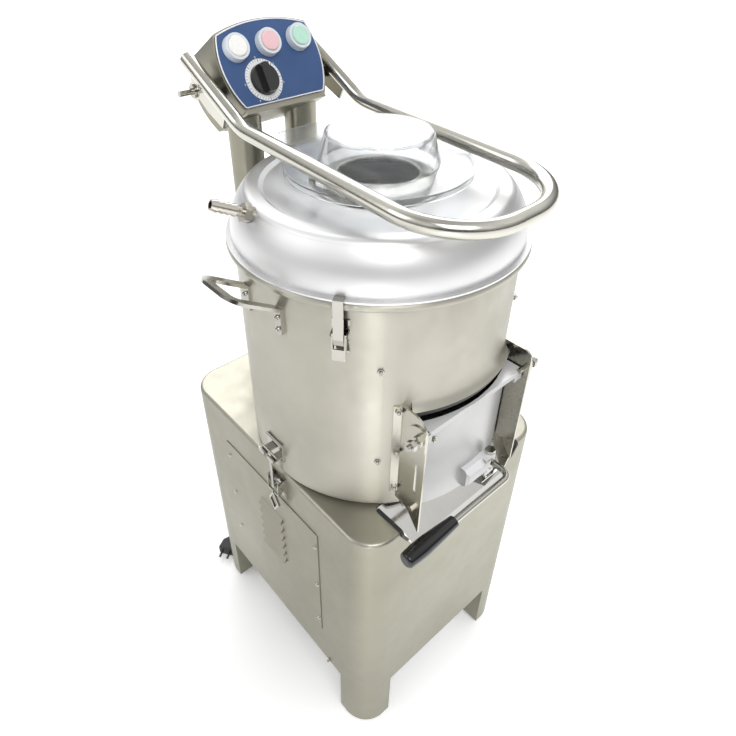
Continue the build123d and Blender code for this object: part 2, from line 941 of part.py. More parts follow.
def make_shaft():
    low = pulley_centre - pulley_height / 2
    body = ring(shaft_radius, 0, low, disc_bottom + disc_thickness)
    collar = ring(shaft_radius + drum_sheet, shaft_radius, pulley_centre + pulley_height / 2,
                  pulley_centre + pulley_height / 2 + bolt_head_height)
    return body + collar


motor_low = shelf_height + shelf_sheet
motor_top = motor_low + motor_height


def make_motor():
    body = ring(motor_radius - motor_fin_depth, 0, motor_low, motor_top)
    fin = block(
        (0, -motor_fin_width / 2, motor_low + motor_fin_width),
        (motor_radius, motor_fin_width / 2, motor_top - 3 * motor_fin_width),
    )
    for i in range(motor_fin_count):
        body += Rot(0, 0, 360 * i / motor_fin_count) * fin
    body += ring(motor_radius, 0, motor_low, motor_low + 2 * motor_fin_width)
    body += ring(motor_radius, 0, motor_top - 3 * motor_fin_width, motor_top - motor_fin_width)
    body += ring(motor_boss_radius, 0, motor_top - motor_fin_width, motor_top)
    box_low = (motor_radius - motor_fin_depth, -motor_radius / 3, motor_low + motor_height / 3)
    box_high = (motor_radius + 2 * motor_fin_depth, motor_radius / 3, motor_low + 2 * motor_height / 3)
    body += block(box_low, box_high)
    body -= ring(motor_shaft_radius + running_gap, 0, motor_top - 3 * motor_fin_width, motor_top + overrun)
    return Pos(0, motor_distance, 0) * body


def make_motor_pulley():
    wheel = vee_pulley(motor_pulley_radius, 0)
    low = motor_top - 2 * motor_fin_width
    wheel += ring(motor_shaft_radius, 0, low, pulley_centre)
    return Pos(0, motor_distance, 0) * wheel


def belt_outline(large, small):
    """The outside of a belt round two pulleys."""
    lean = asin((large - small) / motor_distance)
    points = []
    for side in mirror_x:
        points.append((side * large * cos(lean), large * sin(lean)))
        points.append((side * small * cos(lean), motor_distance + small * sin(lean)))
    left_large, left_small, right_large, right_small = points
    lines = Line(left_small, left_large) + ThreePointArc(left_large, (0, -large), right_large)
    lines += Line(right_large, right_small)
    lines += ThreePointArc(right_small, (0, motor_distance + small), left_small)
    return make_face(lines)


def make_belt():
    inner_large = driven_radius - groove_depth + belt_gap + belt_gap
    inner_small = motor_pulley_radius - groove_depth + belt_gap + belt_gap
    thickness = groove_depth - belt_gap
    outer = belt_outline(inner_large + thickness, inner_small + thickness)
    inner = belt_outline(inner_large, inner_small)
    half = groove_floor / 2 - belt_gap / 2
    return Pos(0, 0, pulley_centre - half) * extrude(outer - inner, 2 * half, dir=(0, 0, 1))


def make_shelf():
    wide = cabinet_half_width - cabinet_sheet
    shelf = block((-wide, -shelf_front, shelf_height), (wide, shelf_back, shelf_height + shelf_sheet))
    for side in mirror_x:
        inner = side * (wide - shelf_sheet)
        low, high = sorted((inner, side * wide))
        shelf += block((low, -shelf_front, shelf_height - shelf_flange), (high, shelf_back, shelf_height))
    return shelf


draw_rod_y = cabinet_half_width + draw_pivot_reach + draw_pin + swing_gap + draw_rod

# Drum

drum_base = cabinet_top


def opening_wedge(half_angle, low, high):
    """The space of the discharge opening, cut through any wall of the drum."""
    return sector(half_angle, drum_radius + 2 * overrun, drum_radius / 2, low, high)


def bracket_screws():
    """Screws of the two bracket flanges: angle and height."""
    angle = degrees(asin(bracket_outer / drum_radius) + bracket_screw_step / drum_radius)
    heights = [bracket_low + bracket_screw_inset, (bracket_low + bracket_top) / 2, bracket_top - bracket_screw_inset]
    return [(side * angle, z, bracket_flange) for side in mirror_x for z in heights]


def liner_bolts():
    """Bolts that hold the abrasive liner: angle and height."""
    angles = [liner_bolt_angle, -liner_bolt_angle, 180 - liner_bolt_angle, liner_bolt_angle - 180]
    return [(angle, z, 0) for angle in angles for z in (liner_bolt_low, liner_bolt_high)]


def radial_bar(angle, z, radius, inner, outer):
    """A bar along a radius of the drum."""
    heading = radians(angle)
    direction = (sin(heading), -cos(heading), 0)
    start = (inner * direction[0], inner * direction[1], z)
    return pin(start, direction, radius, outer - inner)


def rivet_places():
    """Rivets of the drum's handles: side, Y and height."""
    return [(side, y, z) for side in mirror_x for y in (-handle_half_span, handle_half_span)
            for z in (rivet_low, rivet_high)]


def wall_holes():
    """Bars that leave every bolt and rivet hole of the drum's wall."""
    inner = drum_radius - drum_sheet - liner_thickness - overrun
    outer = drum_radius + bracket_flange + overrun
    bars = [radial_bar(angle, z, bolt_shank_radius, inner, outer) for angle, z, _ in bracket_screws() + liner_bolts()]
    for side, y, z in rivet_places():
        bars.append(pin((side * inner, y, z), (side, 0, 0), rivet_shank_radius, outer + handle_thickness - inner))
    return bars


def make_drum():
    wall = drum_radius - drum_sheet
    shell = turned((0, drum_base), (drum_radius, drum_base), (drum_radius, drum_top), (0, drum_top))
    shell = fillet(shell.edges().group_by(Axis.Z)[0], drum_bottom_round)
    hollow = turned(
        (0, drum_base + drum_sheet), (wall, drum_base + drum_sheet), (wall, drum_top + overrun), (0, drum_top + overrun)
    )
    hollow = fillet(hollow.edges().group_by(Axis.Z)[0], drum_bottom_round - drum_sheet)
    shell -= hollow
    bead_radius = drum_radius + rim_overhang - rim_bead
    bead = Plane.XZ * (Pos(bead_radius, drum_top - rim_bead + rim_bead / 2) * Circle(rim_bead))
    shell += revolve(bead, Axis.Z) - hollow
    shell -= opening_wedge(opening_angle, opening_bottom, opening_top)
    flare_low = opening_top + seal_top_height
    rim_in = (drum_radius - drum_sheet / 2, flare_low + lip_height)
    rim_out = (drum_radius, flare_low + lip_height)
    edge_in = (drum_radius + lip_reach - lip_sheet, flare_low)
    edge_out = (drum_radius + lip_reach, flare_low)
    flare = TangentArc(rim_out, edge_out, tangent=(0, -1)) + Line(edge_out, edge_in)
    flare += TangentArc(rim_in, edge_in, tangent=(0, -1)) + Line(rim_in, rim_out)
    shell += Rot(0, 0, -90 - lip_angle) * revolve(Plane.XZ * make_face(flare), Axis.Z, 2 * lip_angle)
    shell -= ring(housing_radius + seat_gap, 0, drum_base - overrun, drum_base + drum_sheet + overrun)
    shell -= pin((drain_x, drain_y, drum_base - overrun), (0, 0, 1), drain_radius - drain_wall,
                 drum_sheet + 2 * overrun)
    for hole in wall_holes():
        shell -= hole
    return shell


def make_liner():
    outer = drum_radius - drum_sheet - seat_gap
    liner = ring(outer, outer - liner_thickness, liner_bottom, liner_top)
    liner -= opening_wedge(seal_angle, liner_bottom - overrun, opening_top + overrun)
    for angle, z, _ in liner_bolts():
        liner -= radial_bar(angle, z, bolt_shank_radius, drum_radius / 2, drum_radius)
    return liner


def make_fasteners():
    """Bracket screws, liner bolts and handle rivets."""
    inner = drum_radius - drum_sheet - liner_thickness
    parts = []
    for angle, z, flange in bracket_screws() + liner_bolts():
        start = inner if flange == 0 else drum_radius - drum_sheet
        seat = drum_radius + flange + seat_gap
        bolt = radial_bar(angle, z, bolt_shank_radius, start, seat + overrun)
        heading = radians(angle)
        direction = (sin(heading), -cos(heading), 0)
        place = (seat * direction[0], seat * direction[1], z)
        head = extrude(Plane(origin=place, z_dir=direction) * RegularPolygon(bolt_head_radius, 6), bolt_head_height)
        parts.append(bolt + head)
    for side, y, z in rivet_places():
        seat = sqrt(drum_radius ** 2 - y ** 2) + handle_thickness
        start = drum_radius - drum_sheet
        rivet = pin((side * (start - rivet_head_height), y, z), (side, 0, 0), rivet_shank_radius,
                    seat + rivet_head_height - start)
        rivet += turned_about(
            (side * seat, y, z), (side, 0, 0),
            (0, 0), (rivet_head_radius, 0), (rivet_head_radius * cos(pi / 5), rivet_head_height), (0, rivet_head_height),
        )
        parts.append(rivet)
    return group(parts)


def make_handles():
    middle = drum_radius + handle_thickness / 2
    outer = drum_radius + handle_reach
    low = (middle, -handle_half_span, lug_top)
    corner = (outer, -handle_half_span, lug_top + handle_rise)
    path = FilletPolyline(
        low, corner, (outer, handle_half_span, lug_top + handle_rise), (middle, handle_half_span, lug_top),
        radius=handle_bend,
    )
    heading = Vector(*corner) - Vector(*low)
    section = Plane(origin=low, x_dir=(0, 1, 0), z_dir=heading) * Rectangle(handle_width, handle_thickness)
    bar = sweep(section, path=path)
    for y in (-handle_half_span, handle_half_span):
        lug = block((drum_radius / 2, y - handle_width / 2, lug_bottom),
                    (sqrt(drum_radius ** 2 - y ** 2) + handle_thickness, y + handle_width / 2, lug_top))
        lug = fillet(lug.edges().filter_by(Axis.X).group_by(Axis.Z)[0], handle_width / 3)
        bar += lug
        bar += pin((middle, y - handle_width / 2, lug_top), (0, 1, 0), handle_thickness / 2, handle_width)
    bar -= ring(drum_radius, 0, lug_bottom - overrun, lug_top + handle_rise)
    for side, y, z in rivet_places():
        if side > 0:
            bar -= pin((drum_radius / 2, y, z), (1, 0, 0), rivet_shank_radius, drum_radius)
    return both_sides(bar)


def make_disc():
    top = disc_bottom + disc_thickness
    disc = ring(disc_radius, 0, disc_bottom, top)
    disc += ring(disc_hub_radius, 0, disc_bottom - disc_hub_drop, disc_bottom)
    reach = disc_radius - disc_thickness
    for i in range(disc_wave_count):
        wave = pin((0, 0, top - disc_wave_radius + disc_wave_rise), (1, 0, 0), disc_wave_radius, reach)
        wave &= block((0, -disc_wave_radius, disc_bottom), (disc_radius, disc_wave_radius, top + disc_wave_rise))
        disc += Rot(0, 0, 360 * i / disc_wave_count) * wave
    disc += ring(disc_cap_radius, 0, top, top + disc_wave_rise + disc_cap_height)
    disc -= ring(shaft_radius, 0, disc_bottom - disc_hub_drop - overrun, top)
    return disc


def make_door_seal():
    outer = drum_radius + seal_side_thickness
    frame = sector(seal_angle, outer, drum_radius, opening_bottom - seal_sill, opening_top + seal_top_height)
    frame += sector(seal_angle, drum_radius + seal_top_thickness, drum_radius, opening_top, opening_top + seal_top_height)
    frame -= opening_wedge(opening_angle, opening_bottom - 2 * seal_sill, opening_top)
    return frame


# Door brackets and pivot

def make_bracket(side, corner_round):
    """A bracket beside the door: -1 for the left one, 1 for the right one."""
    outline = [
        (-drum_radius / 2, bracket_top), (-bracket_front, bracket_top), (-bracket_front, bracket_tip),
        (-bracket_tip_back, bracket_tip_shoulder), (-drum_radius / 2, bracket_low),
    ]
    plate = side_plate(outline, bracket_inner, bracket_outer)
    corner = plate.edges().filter_by(Axis.X).group_by(Axis.Z)[-1].sort_by(Axis.Y)[0]
    plate = fillet(corner, corner_round)
    flange = sector(bracket_flange_angle, drum_radius + bracket_flange, drum_radius, bracket_low, bracket_top)
    flange -= block((-drum_radius, -2 * drum_radius, 0), (bracket_outer - bracket_plate, 0, 2 * bracket_top))
    plate += flange
    plate -= ring(drum_radius, 0, bracket_tip - overrun, bracket_top + overrun)
    if side < 0:
        slot = block(
            (bracket_inner - overrun, -bracket_slot_y - bracket_slot_width / 2, bracket_slot_low),
            (bracket_outer + overrun, -bracket_slot_y + bracket_slot_width / 2, bracket_slot_high),
        )
        plate -= fillet(slot.edges().filter_by(Axis.X), bracket_slot_width / 2 - seat_gap)
        bolt = (bracket_outer, -bracket_slot_y, bracket_bolt_z)
        plate += extrude(Plane(origin=bolt, z_dir=(1, 0, 0)) * RegularPolygon(bolt_head_radius, 6), 2 * bolt_head_height)
    disc = pin((bracket_outer, -door_pivot_y + bracket_disc, door_pivot_z - bracket_disc), (1, 0, 0),
               bracket_disc_radius, bracket_disc)
    disc &= block((0, -bracket_front, 0), (drum_radius, 0, bracket_top))
    plate += disc - ring(drum_radius, 0, bracket_tip, bracket_top)
    plate -= pin((bracket_inner - overrun, -door_pivot_y, door_pivot_z), (1, 0, 0), door_pin_radius,
                 2 * drum_radius)
    for angle, z, _ in bracket_screws():
        if angle > 0:
            plate -= radial_bar(angle, z, bolt_shank_radius, drum_radius / 2, 2 * drum_radius)
    return plate if side > 0 else mirrored(plate)


def make_pivot_bolts():
    start = door_half_width - door_pin_depth
    seat = bracket_outer + bracket_disc
    bolt = pin((start, -door_pivot_y, door_pivot_z), (1, 0, 0), door_pin_radius, seat + pivot_bolt_reach - start)
    for i in (0, 2):
        place = (seat + i * nut_height, -door_pivot_y, door_pivot_z)
        bolt += extrude(Plane(origin=place, z_dir=(1, 0, 0)) * RegularPolygon(nut_radius, 6), nut_height)
    return both_sides(bolt)


# Discharge door, handle and grip

rod_z = (boss_bottom + boss_top) / 2


def make_door():
    window = block((-door_half_width, -drum_radius - 2 * door_bead, door_bottom),
                   (door_half_width, 0, door_pivot_z))
    sheet = ring(door_outer, door_inner, door_bottom, door_pivot_z) & window
    roof = block((-door_half_width, -door_pivot_y, door_pivot_z - door_roof), (door_half_width, 0, door_pivot_z))
    thin = Plane(origin=(0, door_bead_middle - door_outer, door_pivot_z - door_bead_middle), z_dir=(1, 0, 0))
    thick = Plane(origin=(door_half_width, -door_pivot_y, door_pivot_z), z_dir=(1, 0, 0))
    roll = loft([thin * Circle(door_bead_middle), thick * Circle(door_bead)], ruled=True)
    lugs = [
        block((-door_half_width, -door_pivot_y, door_pivot_z - 2 * door_roof),
              (-door_half_width + door_lug_length, 0, door_pivot_z)),
        block((door_half_width - door_lug_length, -door_pivot_y, door_pivot_z - 2 * door_roof),
              (door_half_width, 0, door_pivot_z)),
    ]
    boss = block((-boss_left, -boss_front, boss_bottom), (boss_right, -drum_radius, boss_top))
    boss = chamfer(boss.edges().filter_by(Axis.X).group_by(Axis.Y)[0], boss_chamfer)
    boss = chamfer(boss.edges().filter_by(Axis.Z).group_by(Axis.X)[0].sort_by(Axis.Y)[0], boss_chamfer / 2)
    door = sheet + roof + roll + mirrored(roll)
    for lug in lugs:
        door += lug
    door += boss
    for low in (boss_bottom, boss_top - ear_thickness):
        ear = block((boss_right - boss_chamfer, -latch_y - ear_radius, low),
                    (latch_x, -latch_y + ear_radius, low + ear_thickness))
        ear += pin((latch_x, -latch_y, low), (0, 0, 1), ear_radius, ear_thickness)
        door += ear
    door -= ring(door_inner, 0, 0, door_pivot_z - door_bead) & block(
        (-drum_radius, -2 * drum_radius, 0), (drum_radius, 0, 2 * door_pivot_z))
    inner_cut = ring(door_inner, 0, door_pivot_z - 2 * door_bead, door_pivot_z + 2 * door_bead)
    door -= inner_cut
    door -= pin((latch_x, -latch_y, boss_bottom - overrun), (0, 0, 1), latch_pin_radius + running_gap,
                boss_top - boss_bottom + 2 * overrun)
    for side in mirror_x:
        door -= pin((side * (door_half_width + overrun), -door_pivot_y, door_pivot_z), (-side, 0, 0),
                    door_pin_radius + running_gap, door_pin_depth + overrun + swing_gap)
    return door


def make_handle_rod():
    insert = grip_inner_end + (grip_outer_end - grip_inner_end) * grip_insert_share
    path = FilletPolyline(
        (latch_x, -latch_y, rod_z), (latch_x, -rod_front, rod_z), (insert, -rod_front, rod_z), radius=rod_bend
    )
    rod = sweep(Plane(origin=(latch_x, -latch_y, rod_z), z_dir=(0, -1, 0)) * Circle(rod_radius), path=path)
    low = boss_bottom + ear_thickness + swing_gap
    high = boss_top - ear_thickness - swing_gap
    rod += pin((latch_x, -latch_y, low), (0, 0, 1), hub_radius, high - low)
    cam_low = cam_bottom
    rod += pin((latch_x, -latch_y, cam_low), (0, 0, 1), latch_pin_radius, boss_top + nut_height - cam_low)
    rod += pin((latch_x, -latch_y, cam_low), (0, 0, 1), cam_width / 2, cam_thickness)
    rod += block((latch_x, -latch_y - cam_width / 2, cam_low),
                 (latch_x + cam_reach, -latch_y + cam_width / 2, cam_low + cam_thickness))
    top = (latch_x, -latch_y, boss_top + swing_gap)
    rod += extrude(Plane(origin=top, z_dir=(0, 0, 1)) * RegularPolygon(nut_radius, 6), nut_height)
    return rod


def make_grip():
    length = grip_inner_end - grip_outer_end
    insert = length * grip_insert_share
    belly = length * grip_belly_share
    outline = Line((0, 0), (grip_neck_radius, 0))
    outline += ThreePointArc(
        (grip_neck_radius, 0), ((grip_neck_radius + grip_belly_radius) / 2 + seat_gap, belly / 2),
        (grip_belly_radius, belly))
    outline += ThreePointArc(
        (grip_belly_radius, belly), ((grip_belly_radius * 3 + grip_end_radius) / 4, (belly + length) / 2),
        (grip_end_radius, length - grip_end_round))
    outline += ThreePointArc(
        (grip_end_radius, length - grip_end_round),
        (grip_end_radius - grip_end_round * (1 - cos(pi / 4)), length - grip_end_round * (1 - sin(pi / 4))),
        (grip_end_radius - grip_end_round, length))
    outline += Line((grip_end_radius - grip_end_round, length), (0, length))
    outline += Line((0, length), (0, 0))
    body = revolve(Plane.XZ * make_face(outline), Axis.Z)
    body = Plane(origin=(grip_inner_end, -rod_front, rod_z), z_dir=(-1, 0, 0)).location * body
    return body - pin((grip_inner_end + overrun, -rod_front, rod_z), (-1, 0, 0), rod_radius, insert + overrun)


# Lid, feed collar, cover and water inlet

rim_top = drum_top + rim_bead / 2
lid_base = rim_top
plateau = lid_base + lid_plateau_rise


def nozzle_axis():
    """Start point and direction of the water inlet."""
    bearing_angle = radians(180 - nozzle_bearing)
    lift = radians(nozzle_lift)
    start = (nozzle_radius_out * cos(bearing_angle), nozzle_radius_out * sin(bearing_angle), lid_base + nozzle_rise)
    direction = (cos(lift) * cos(bearing_angle), cos(lift) * sin(bearing_angle), sin(lift))
    return start, direction


def make_lid():
    t = lid_sheet
    flange = lid_base + t
    outer = Line((collar_radius, plateau), (lid_plateau_radius, plateau))
    outer += Line((lid_plateau_radius, plateau), (lid_step_radius, lid_base + lid_land_rise))
    outer += Line((lid_step_radius, lid_base + lid_land_rise), (lid_land_radius, lid_base + lid_land_rise))
    shoulder_mid = ((lid_land_radius + lid_shoulder_radius) / 2 + t / 2,
                    lid_base + (lid_land_rise + lid_shoulder_rise) / 2 + t / 2)
    outer += ThreePointArc((lid_land_radius, lid_base + lid_land_rise), shoulder_mid,
                           (lid_shoulder_radius, lid_base + lid_shoulder_rise))
    outer += ThreePointArc((lid_shoulder_radius, lid_base + lid_shoulder_rise),
                           (lid_bulge_radius, lid_base + lid_bulge_rise), (lid_foot_radius, flange))
    outer += Line((lid_foot_radius, flange), (lid_flange_radius, flange))
    outer += Line((lid_flange_radius, flange), (lid_flange_radius, lid_base))
    outer += Line((lid_flange_radius, lid_base), (lid_skirt_radius, lid_base))
    outer += Line((lid_skirt_radius, lid_base), (lid_skirt_radius, lid_base - lid_skirt_drop))
    outer += Line((lid_skirt_radius, lid_base - lid_skirt_drop), (lid_skirt_radius - t, lid_base - lid_skirt_drop))
    outer += Line((lid_skirt_radius - t, lid_base - lid_skirt_drop), (lid_skirt_radius - t, flange))
    outer += Line((lid_skirt_radius - t, flange), (lid_foot_radius - t - t / 2, flange))
    outer += ThreePointArc((lid_foot_radius - t - t / 2, flange), (lid_bulge_radius - t, lid_base + lid_bulge_rise - t / 3),
                           (lid_shoulder_radius - t, lid_base + lid_shoulder_rise - t / 2))
    outer += ThreePointArc((lid_shoulder_radius - t, lid_base + lid_shoulder_rise - t / 2),
                           (shoulder_mid[0] - t * 2 / 3, shoulder_mid[1] - t * 2 / 3),
                           (lid_land_radius, lid_base + lid_land_rise - t))
    outer += Line((lid_land_radius, lid_base + lid_land_rise - t), (lid_step_radius, lid_base + lid_land_rise - t))
    outer += Line((lid_step_radius, lid_base + lid_land_rise - t), (lid_plateau_radius, plateau - t))
    outer += Line((lid_plateau_radius, plateau - t), (collar_radius, plateau - t))
    outer += Line((collar_radius, plateau - t), (collar_radius, plateau))
    lid = revolve(Plane.XZ * make_face(outer), Axis.Z)
    start, direction = nozzle_axis()
    inner = [a - nozzle_inner_length * 2 * b for a, b in zip(start, direction)]
    return lid - pin(inner, direction, nozzle_shank, nozzle_inner_length * 4)


def make_collar():
    inner = collar_radius - collar_wall
    body = turned(
        (inner, plateau - lid_sheet), (collar_radius, plateau - lid_sheet), (collar_radius, plateau),
        (collar_radius + collar_flange, plateau), (collar_radius + collar_flange, plateau + collar_flange_sheet),
        (collar_radius, plateau + collar_flange_sheet), (collar_radius, plateau + collar_rise),
        (throat_radius, plateau + throat_rise), (throat_radius, plateau + throat_rise - collar_wall),
        (inner, plateau + collar_rise - collar_wall),
    )
    bead = Plane.XZ * (Pos(throat_radius, plateau + throat_rise) * Circle(collar_bead))
    return body + revolve(bead, Axis.Z)


# Guard bow and its cover

tilt_cos = cos(radians(bow_tilt))
tilt_sin = sin(radians(bow_tilt))
bow_bend_z = bow_front_z + (bow_bend_y + bow_front_y) * tilt_sin / tilt_cos
rise_cos = cos(radians(bow_rise))
rise_sin = sin(radians(bow_rise))
bow_end_z = bow_bend_z + (bow_end_y - bow_bend_y) * rise_sin / rise_cos
lug_tube_z = bow_front_z + (bow_front_y + lug_y) * tilt_sin / tilt_cos
lug_x = bow_half_width - lug_inset
cover_top = lug_tube_z - bow_radius - lug_height
cover_bottom = cover_top - cover_sheet


def along_ear(along, across):
    """A point beside the bow's rear leg: distance from its bend, and below its axis."""
    y = bow_bend_y + along * rise_cos + across * rise_sin
    z = bow_bend_z + along * rise_sin - across * rise_cos
    return y, z


bow_pivot_y, bow_pivot_z = along_ear(bow_pivot_along, bow_pivot_drop)


def make_bow():
    w = bow_half_width
    end = (-w, bow_end_y, bow_end_z)
    path = FilletPolyline(
        end, (-w, bow_bend_y, bow_bend_z), (-w, -bow_front_y, bow_front_z),
        (w, -bow_front_y, bow_front_z), (w, bow_bend_y, bow_bend_z), (w, bow_end_y, bow_end_z),
        radius=[bow_bend_radius, bow_nose_radius, bow_nose_radius, bow_bend_radius],
    )
    start = Plane(origin=end, z_dir=(0, -rise_cos, -rise_sin))
    tube = sweep(start * Circle(bow_radius), path=path)
    pivot = (bow_pivot_y, bow_pivot_z)
    for side in mirror_x:
        low, high = sorted((side * (w - bow_ear / 2), side * (w + bow_ear / 2)))
        strip = side_plate(
            [along_ear(bow_ear_start, bow_radius / 2), along_ear(bow_ear_start, bow_ear_strip),
             along_ear(2 * bow_ear_start, bow_ear_strip + bow_ear), pivot,
             along_ear(hypot(bow_end_y - bow_bend_y, bow_end_z - bow_bend_z) - bow_ear, bow_radius / 2)],
            low, high)
        ear = strip + pin((low, *pivot), (1, 0, 0), bow_ear_radius, bow_ear)
        ear -= pin((low - overrun, *pivot), (1, 0, 0), bow_pin_radius + running_gap, bow_ear + 2 * overrun)
        tube += ear
        tube += make_cover_lug(side)
    return tube


def make_cover_lug(side):
    """The welded hexagon and stud that carry the clear cover under the bow, with the stud's nut."""
    place = (side * lug_x, lug_y, cover_top)
    under = (side * lug_x, lug_y, cover_bottom)
    foot = extrude(Plane(origin=place, z_dir=(0, 0, 1)) * RegularPolygon(lug_nut_radius, 6), lug_height + bow_radius / 2)
    foot += pin(place, (0, 0, -1), lug_stud_radius, cover_sheet + lug_stud_drop)
    foot += extrude(Plane(origin=under, z_dir=(0, 0, -1)) * RegularPolygon(lug_nut_radius, 6), lug_nut_height)
    return foot


def make_cover():
    t = cover_sheet
    top = cover_top + crown_height
    body = turned(
        (0, cover_bottom), (cover_brim_radius, cover_bottom), (cover_brim_radius, cover_top), (0, cover_top))
    tongue = Polygon(
        (-tongue_root_half, tongue_root_y), (-tongue_half_width, tongue_reach),
        (tongue_half_width, tongue_reach), (tongue_root_half, tongue_root_y), align=None)
    tongue = fillet(tongue.vertices().group_by(Axis.Y)[-1], crown_round)
    body += Pos(0, 0, cover_bottom) * extrude(tongue, t, dir=(0, 0, 1))
    lip = ring(cover_brim_radius, cover_brim_radius - t, cover_bottom - cover_lip_drop, cover_top)
    lip -= block((-tongue_root_half, 0, 0), (tongue_root_half, 2 * cover_brim_radius, cover_bottom))
    body += lip
    crown = turned((0, cover_bottom), (crown_foot_radius, cover_bottom), (crown_foot_radius, cover_top),
                   (crown_top_radius, top), (0, top))
    crown = fillet(crown.edges().group_by(Axis.Z)[-1], crown_round)
    inner = turned((0, cover_bottom - overrun), (crown_foot_radius - t, cover_bottom - overrun),
                   (crown_foot_radius - t, cover_top), (crown_top_radius - t, top - t), (0, top - t))
    inner = fillet(inner.edges().group_by(Axis.Z)[-1], crown_round - t / 2)
    body = (body + crown) - inner
    for side in mirror_x:
        body -= pin((side * lug_x, lug_y, cover_bottom - overrun), (0, 0, 1), lug_stud_radius, t + 2 * overrun)
    return body


def make_nozzle():
    start, direction = nozzle_axis()
    hex_low = nozzle_hex_offset
    hex_high = hex_low + nozzle_hex_height
    points = [(nozzle_bore, -nozzle_inner_length), (nozzle_shank, -nozzle_inner_length), (nozzle_shank, hex_low),
              (nozzle_neck, hex_low), (nozzle_neck, hex_high + nozzle_neck_length)]
    for i in range(nozzle_barb_count):
        foot = hex_high + nozzle_neck_length + i * nozzle_barb_pitch
        points += [(nozzle_barb, foot), (nozzle_neck, foot + nozzle_barb_pitch)]
    points += [(nozzle_bore, hex_high + nozzle_neck_length + nozzle_barb_count * nozzle_barb_pitch)]
    body = turned_about(start, direction, *points)
    base = Plane(origin=start, z_dir=direction).offset(hex_low)
    nut = extrude(base * RegularPolygon(nozzle_hex, 6), nozzle_hex_height)
    nut -= pin(start, direction, nozzle_bore, 2 * hex_high)
    return body + nut


# Control head

tilt = radians(head_tilt)
head_front = Plane(origin=(0, head_foot_y, head_foot_z), x_dir=(1, 0, 0), z_dir=(0, -cos(tilt), sin(tilt)))


def head_outline(inset, chin):
    """The bulged outline of the control head, seen square to its face."""
    foot = fascia_foot_half - inset
    belly = fascia_belly_half - inset
    top = fascia_top_half - inset
    corner = fascia_corner_height - inset
    crest = fascia_top_height - inset
    low = inset - chin
    outline = Line((-foot, low), (foot, low))
    outline += ThreePointArc((foot, low), (belly, fascia_belly_height), (top, corner))
    outline += ThreePointArc((top, corner), (0, crest), (-top, corner))
    outline += ThreePointArc((-top, corner), (-belly, fascia_belly_height), (-foot, low))
    face = make_face(outline)
    return fillet(face.vertices(), fascia_corner_round)


def panel_place(x, height, rise):
    """A plane square to the control face, above its point."""
    return head_front.offset(rise) * Pos(x, height, 0)


def column_bars(radius):
    """Two vertical bars on the columns' axes."""
    return [pin((side * column_half_spacing, column_y, cabinet_top), (0, 0, 1), radius, head_foot_z - cabinet_top)
            for side in mirror_x]


head_floor = Plane(
    origin=head_front.from_local_coords((0, -head_chin, 0)), x_dir=(1, 0, 0), z_dir=(0, sin(tilt), cos(tilt)))


def make_columns():
    columns = []
    underside = head_floor.offset(-saddle_thickness)
    for outer, inner, side in zip(column_bars(column_radius), column_bars(column_radius - column_wall), mirror_x):
        tube = outer - inner
        tube += pin((side * column_half_spacing, column_y, cabinet_top), (0, 0, 1),
                    column_flange_radius, column_flange) - inner
        columns.append(split(tube, bisect_by=underside, keep=Keep.BOTTOM))
    return group(columns)


def make_head_box():
    outer = extrude(head_front * head_outline(0, head_chin), -head_depth)
    inner = extrude(head_front.offset(-head_sheet) * head_outline(head_sheet, head_chin), 2 * head_sheet - head_depth)
    box = outer - inner
    saddle = extrude(
        head_floor * Pos(0, saddle_depth / 2 - head_sheet, 0) * Rectangle(2 * saddle_half_width, saddle_depth),
        -saddle_thickness)
    box += saddle
    for x in (-button_spacing, 0, button_spacing):
        box -= extrude(panel_place(x, button_height_on_panel, 0) * Circle(switch_stem_radius + seat_gap), -2 * head_sheet)
    box -= extrude(panel_place(dial_x, dial_height, 0) * Circle(timer_stem_radius + swing_gap), -2 * head_sheet)
    return box


def make_fascia():
    face = extrude(head_front * head_outline(fascia_inset, fascia_chin), fascia_thickness)
    for x in (-button_spacing, 0, button_spacing):
        face -= extrude(panel_place(x, button_height_on_panel, -overrun) * Circle(switch_stem_radius + seat_gap),
                        fascia_thickness + 2 * overrun)
    face -= extrude(panel_place(dial_x, dial_height, -overrun) * Circle(timer_stem_radius + swing_gap),
                    fascia_thickness + 2 * overrun)
    return face


def make_dial():
    place = panel_place(dial_x, dial_height, fascia_thickness)
    return extrude(place * (Circle(dial_radius) - Circle(timer_stem_radius + swing_gap)), dial_thickness)


def make_switches():
    """Button sockets and the timer's body, behind and in the face."""
    parts = []
    for x in (-button_spacing, 0, button_spacing):
        base = panel_place(x, button_height_on_panel, 0)
        profile = [
            (0, -head_sheet), (switch_stem_radius, -head_sheet), (switch_stem_radius, fascia_thickness),
            (button_ring_foot, fascia_thickness), (button_ring_radius, fascia_thickness + button_ring_height),
            (button_bore, fascia_thickness + button_ring_height), (button_bore, fascia_thickness + 2 * head_sheet),
            (0, fascia_thickness + 2 * head_sheet),
        ]
        socket = base * turned(*profile)
        rear = panel_place(x, button_height_on_panel, -head_sheet)
        socket += extrude(rear * Circle(switch_block_radius), -switch_block_depth)
        parts.append(socket)
    timer = panel_place(dial_x, dial_height, -head_sheet)
    parts.append(extrude(timer * Rectangle(dial_radius, dial_radius), -switch_block_depth))
    return group(parts)


def make_button(x):
    """One push button cap, standing proud of its socket's ring."""
    base = panel_place(x, button_height_on_panel, fascia_thickness)
    radius = button_bore - button_cap_gap
    low = 2 * head_sheet + button_travel + button_cap_gap
    top = button_ring_height + button_cap_rise
    profile = [(0, low), (radius, low), (radius, top - button_dome), (radius - button_dome, top), (0, top)]
    return base * turned(*profile)


